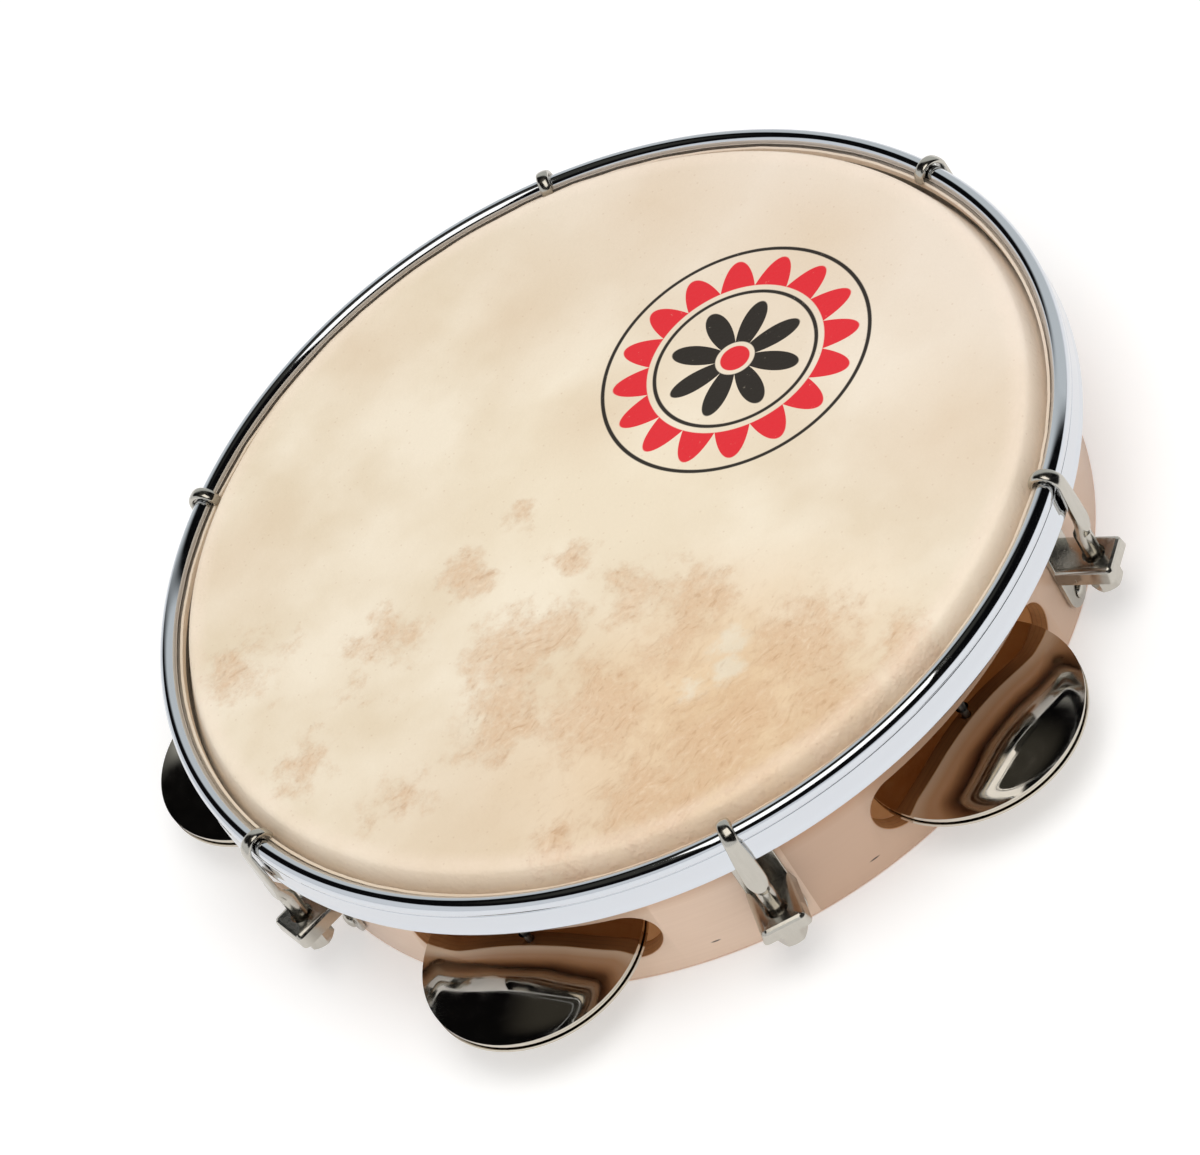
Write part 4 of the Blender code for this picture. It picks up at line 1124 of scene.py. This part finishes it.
def tension_nut():
    _, _, low, high = reach("tension_nut_1")
    rod_x = HOOK_PLACES[0][1]
    corner = NUT_FLATS / 2 / math.cos(math.pi / 6)
    start_fresh()
    bpy.ops.mesh.primitive_cylinder_add(vertices=6, radius=corner, depth=high - low,
                                        location=(0.0, 0.0, (low + high) / 2), rotation=(0, 0, math.pi / 6))
    nut = bpy.context.object
    bpy.ops.object.transform_apply(location=True, rotation=True, scale=True)
    drop = (corner - NUT_FLATS / 2) * CONE_SLOPE
    face = NUT_FLATS / 2 * FACE_SHARE
    wide = corner * CORNER_SPARE
    ends = [(0.0, low), (face, low), (wide, low + drop), (wide, high - drop), (face, high), (0.0, high)]
    cut_with(nut, turned(ends, CONE_STEPS), "INTERSECT")
    drill(nut, NUT_BORE / 2, 4 * (high - low), (0.0, 0.0, (low + high) / 2), sides=BORE_SIDES)
    nut.data.transform(Matrix.Rotation(math.pi / 6, 4, "Z"))
    nut.data.transform(Matrix.Translation((rod_x, 0.0, 0.0)))
    return nut


copies(settle(tension_nut(), "nut"), "hexagon_nut", NICKEL, RIM_PLACES, "nut_{}", "tension_nut_{}")

# %% [markdown]
# A bracket is pressed from one sheet: a back plate with a round foot, and a shelf with an apron on three
# sides that keeps it stiff. Bent sheet has a small radius at each fold, so the folds are bevelled on a
# full block, and a smaller block with folds of its own is taken out of it, which leaves the sheet. The
# plate and the shelf are then joined, and the holes are drilled.

# %% Bracket
SHEET = 0.0012
BRACKET_WIDTH = 0.0124
APRON_HEIGHT = 0.0045
APRON_FLARE = 0.0010
FOLD_RADIUS = 0.0015
FOLD_FLAT = 0.0011
SHELF_TOP = 0.0222
FOOT_HEIGHT = 0.0024
PLATE_TOP = 0.0440
ROD_HOLE_RADIUS = 0.0033
ROD_HOLE_SIDES = 40
PLATE_CORNER = 0.0015
SHEET_EASE = 0.00025
FOOT_STEPS = 16
CORNER_STEPS = 6
FOLD_STEPS = 5
FLAT_STEPS = 2


def back_plate(inner, half):
    """The upright plate, with a round foot and eased edges."""
    height = PLATE_TOP - FOOT_HEIGHT
    plate = block((SHEET, 2 * half, height), (inner + SHEET / 2, 0.0, FOOT_HEIGHT + height / 2))

    def through(edge):
        return abs(edge_direction(plate.data, edge).x) > PARALLEL

    pick("edges", lambda edge, middle: through(edge) and middle.z < PLATE_TOP / 2)
    bpy.ops.mesh.bevel(offset=half - MERGE_DISTANCE, segments=FOOT_STEPS, affect="EDGES")
    bpy.ops.mesh.select_all(action="SELECT")
    bpy.ops.mesh.remove_doubles(threshold=BEVEL_MERGE)
    pick("edges", lambda edge, middle: through(edge) and middle.z > PLATE_TOP - NEARBY)
    bpy.ops.mesh.bevel(offset=PLATE_CORNER, segments=CORNER_STEPS, affect="EDGES")
    pick("edges", lambda edge, middle: not through(edge) and middle.x > inner + SHEET - NEARBY)
    bpy.ops.mesh.bevel(offset=SHEET_EASE, segments=FLAT_STEPS, affect="EDGES")
    bpy.ops.object.mode_set(mode="OBJECT")
    return plate


def folded_block(back, front, half, inset):
    """A block that widens downwards, with rounded folds, smaller all round by an inset."""
    below = APRON_HEIGHT if inset == 0 else APRON_HEIGHT + SHEET
    top = SHELF_TOP - inset
    low = SHELF_TOP - below
    widen = APRON_FLARE * (top - low) / APRON_HEIGHT
    narrow = half - inset
    folded = block((front - inset - back, 2 * narrow, top - low),
                   ((front - inset + back) / 2, 0.0, (top + low) / 2))
    pick("vertices", lambda corner, middle: middle.z < low + NEARBY)
    bpy.ops.transform.resize(value=(1.0, (narrow + widen) / narrow, 1.0), center_override=(0.0, 0.0, 0.0))
    pick("edges", lambda edge, middle: middle.x > front - inset - NEARBY and abs(middle.y) > narrow / 2)
    bpy.ops.mesh.bevel(offset=FOLD_RADIUS - inset, segments=FOLD_STEPS, affect="EDGES")
    pick("edges", lambda edge, middle: middle.x > back + NEARBY and middle.z > top - NEARBY)
    bpy.ops.mesh.bevel(offset=FOLD_FLAT, segments=FLAT_STEPS, affect="EDGES")
    bpy.ops.object.mode_set(mode="OBJECT")
    return folded


def boxed_shelf(inner, front, half):
    """The shelf with its flared apron: a folded block with a smaller one taken out of it."""
    shelf = folded_block(inner + SHEET / 2, front, half, 0.0)
    cut_with(shelf, folded_block(inner - SHEET, front, half, SHEET))
    return shelf


def bracket():
    inner = reach("bracket_1")[0]
    front = max((Matrix.Rotation(-HOOK_PLACES[0][0], 4, "Z") @ corner.co).x
                for corner in frame["nodes"]["bracket_1"].data.vertices)
    half = BRACKET_WIDTH / 2
    sheet = back_plate(inner, half)
    cut_with(sheet, boxed_shelf(inner, front, half), "UNION")
    drill(sheet, ROD_HOLE_RADIUS, 4 * SHEET, (HOOK_PLACES[0][1], 0.0, SHELF_TOP), sides=ROD_HOLE_SIDES)
    for height in RIVET_HEIGHTS:
        drill(sheet, RIVET_HOLE_RADIUS, 6 * SHEET, (inner + SHEET / 2, 0.0, height),
              rotation=(0.0, math.pi / 2, 0.0))
    apply_modifier(sheet, "WEIGHTED_NORMAL", keep_sharp=True)
    return sheet


copies(settle(bracket(), "bracket"), "pressed_bracket", SATIN_NICKEL, RIM_PLACES, "drum", "bracket_{}")

# %% [markdown]
# Each bracket is held by two rivets through the wood. The head on the bracket is a low dome, and the
# inner end is spread flat on the wood. Both lie on one axis, so the whole rivet is one turned piece, laid
# on its side.

# %% Rivets
RIVET_SHANK = 0.0015
RIVET_HEAD_RADIUS = 0.0026
RIVET_HEAD = 0.0012
SPREAD_FLAT = 0.7       # radii of the spread end, as shares of the head's
SPREAD_EDGE = 0.95
DOME_STEPS = 8
RIVET_STEPS = 40


def rivet():
    """A rivet along +X, at height zero."""
    near, far, _, _ = reach("lower_rivet_1")
    outer_seat = far - RIVET_HEAD
    inner_seat = near + RIVET_HEAD
    dome = [(RIVET_HEAD_RADIUS * math.cos(turn), outer_seat + RIVET_HEAD * math.sin(turn))
            for turn in [math.pi / 2 * step / DOME_STEPS for step in range(DOME_STEPS + 1)]]
    dome[-1] = (0.0, far)
    points = [(0.0, near), (RIVET_HEAD_RADIUS * SPREAD_FLAT, near),
              (RIVET_HEAD_RADIUS * SPREAD_EDGE, near + RIVET_HEAD / 3),
              (RIVET_HEAD_RADIUS, inner_seat), (RIVET_SHANK, inner_seat), (RIVET_SHANK, outer_seat)]
    piece = turned(points + dome, RIVET_STEPS)
    piece.data.transform(Matrix.Rotation(math.pi / 2, 4, "Y"))
    return piece


for label, height, node in (("low_rivet", RIVET_HEIGHTS[0], "lower_rivet_{}"),
                            ("high_rivet", RIVET_HEIGHTS[1], "upper_rivet_{}")):
    places = [turn @ Matrix.Translation((0.0, 0.0, height)) for turn in RIM_PLACES]
    copies(settle(rivet(), "rivet"), label, NICKEL, places, "drum", node)

# %% [markdown]
# Jingles are stamped from thin sheet, nickel plated and polished like mirrors. Spinning and knocking
# leave them very slightly uneven, so that a straight reflection bends a little. That unevenness is a low,
# broad bump.

# %% Polished jingle metal
def jingle_material():
    material, tree, shader, place = new_material("polished_nickel_on_stamped_sheet")
    uneven = add(tree, "TexNoise", {"Vector": place, "Scale": 48.0, "Detail": 1.0})
    bump = add(tree, "Bump", {"Strength": 0.14, "Distance": 0.00030, "Height": uneven})
    film = add(tree, "TexNoise", {"Vector": place, "Scale": 240.0, "Detail": 4.0})
    haze = add(tree, "MapRange", {"Value": film, "From Min": 0.35, "From Max": 0.8, "To Min": 0.03,
                                  "To Max": 0.12})
    fill(tree, shader, {"Base Color": linear("CFC7BA"), "Metallic": 1.0, "Roughness": haze, "Normal": bump})
    return material


JINGLE = jingle_material()

# %% [markdown]
# A jingle is a shallow dome with a flatter margin and a hole for the pin. Two lie with their margins
# together and a flat disc between them. A polished dome tells its own section: the photograph's jingles
# are black over a wide area with one bright streak beside it, so the wall is nearly a cone there. Its
# crown is round, it grows a little steeper outwards, and it flattens at the margin. We give the slope at
# a few radii and add it up from the rim inwards, which gives the heights.

# %% Jingles
JINGLE_RADIUS = 0.0328
JINGLE_SHEET = 0.0008
HOLE_RADIUS = 0.0018
JINGLE_STEPS = 144
SECTION_STEPS = 46
SHEET_SPARE = 0.98      # the sheet is a touch thinner than the solid's, to stay inside it
SLOPES = (               # distance from the pin in metres, and slope of the wall there
    (0.0000, 0.000),
    (0.0150, 0.200),
    (0.0240, 0.222),
    (0.0276, 0.232),
    (0.0292, 0.190),
    (0.0328, 0.060),
)


def jingle(upward):
    """One jingle on the Z axis at its real height, with its dome up or down."""
    _, _, low, high = reach("upper_jingle_1" if upward else "lower_jingle_1")
    away = np.linspace(JINGLE_RADIUS, HOLE_RADIUS, SECTION_STEPS)
    slope = np.interp(away, [place for place, _ in SLOPES], [value for _, value in SLOPES])
    steps = (slope[1:] + slope[:-1]) / 2 * (away[:-1] - away[1:])
    height = np.concatenate(([0.0], np.cumsum(steps)))
    print("crown above the rim in mm:", round(height[-1] * 1000, 2))
    middle = JINGLE_SHEET / 2
    level = low + middle + height if upward else high - middle - height
    piece = turned(list(zip(away.tolist(), level.tolist())), JINGLE_STEPS)
    apply_modifier(piece, "SOLIDIFY", thickness=JINGLE_SHEET * SHEET_SPARE, offset=0.0,
                   use_even_offset=False)
    return piece


PIN_PLACES = [Matrix.Translation(at(angle, away, 0.0)) for angle, away in JINGLE_PLACES]
for upward, label, body, node in ((True, "top_jingle", "upper_{}", "upper_jingle_{}"),
                                  (False, "bottom_jingle", "lower_{}", "lower_jingle_{}")):
    copies(settle(jingle(upward), "jingle"), label, JINGLE, PIN_PLACES, body, node)

# %% [markdown]
# The damper between two jingles is a plain flat disc of the same sheet, a little smaller than the
# jingles, so it takes the ring out of them. Only its edge shows, so the edge is what gets shaped: a small
# round on both sides.

# %% Damper discs
DAMPER_RADIUS = 0.0324
DAMPER_STEPS = 96


def damper():
    _, _, low, high = reach("jingle_damper_1")
    ease = (high - low) / 3
    points = [(HOLE_RADIUS, low), (DAMPER_RADIUS - ease, low)]
    points += arc((DAMPER_RADIUS - ease, low + ease), ease, 270.0, 360.0, EASE_STEPS)[1:]
    points += arc((DAMPER_RADIUS - ease, high - ease), ease, 0.0, 90.0, EASE_STEPS)
    points += [(HOLE_RADIUS, high), (HOLE_RADIUS, low)]
    return turned(points, DAMPER_STEPS)


copies(settle(damper(), "damper"), "damper_disc", JINGLE, PIN_PLACES, "damper_{}", "jingle_damper_{}")

# %% [markdown]
# The pins and the ring inside the wrapped skin are drawn steel wire: grey, with fine lines along its
# length and a softer shine. A pin is a rod whose ends are cut and slightly rounded.

# %% Drawn steel wire
PIN_RADIUS = 0.0012
PIN_STEPS = 32


def wire_material():
    material, tree, shader, place = new_material("drawn_steel_wire")
    drawn = add(tree, "Mapping", {"Vector": place, "Scale": (1.0, 1.0, 0.05)})
    lines = add(tree, "TexNoise", {"Vector": drawn, "Scale": 3000.0, "Detail": 2.0})
    haze = add(tree, "MapRange", {"Value": lines, "To Min": 0.25, "To Max": 0.45})
    fill(tree, shader, {"Base Color": coats(tree, "8F8D89", (lines, "B3B1AC")), "Metallic": 1.0,
                        "Roughness": haze})
    return material


WIRE = wire_material()


def pin():
    _, _, low, high = reach("jingle_pin_1")
    ease = PIN_RADIUS / 3
    points = [(0.0, low)]
    points += arc((PIN_RADIUS - ease, low + ease), ease, 270.0, 360.0, EASE_STEPS)
    points += arc((PIN_RADIUS - ease, high - ease), ease, 0.0, 90.0, EASE_STEPS)
    points += [(0.0, high)]
    return turned(points, PIN_STEPS)


copies(settle(pin(), "pin"), "pin_wire", WIRE, PIN_PLACES, "drum", "jingle_pin_{}")
ring = frame["nodes"]["flesh_hoop"]
ring.data.materials.clear()
ring.data.materials.append(WIRE)
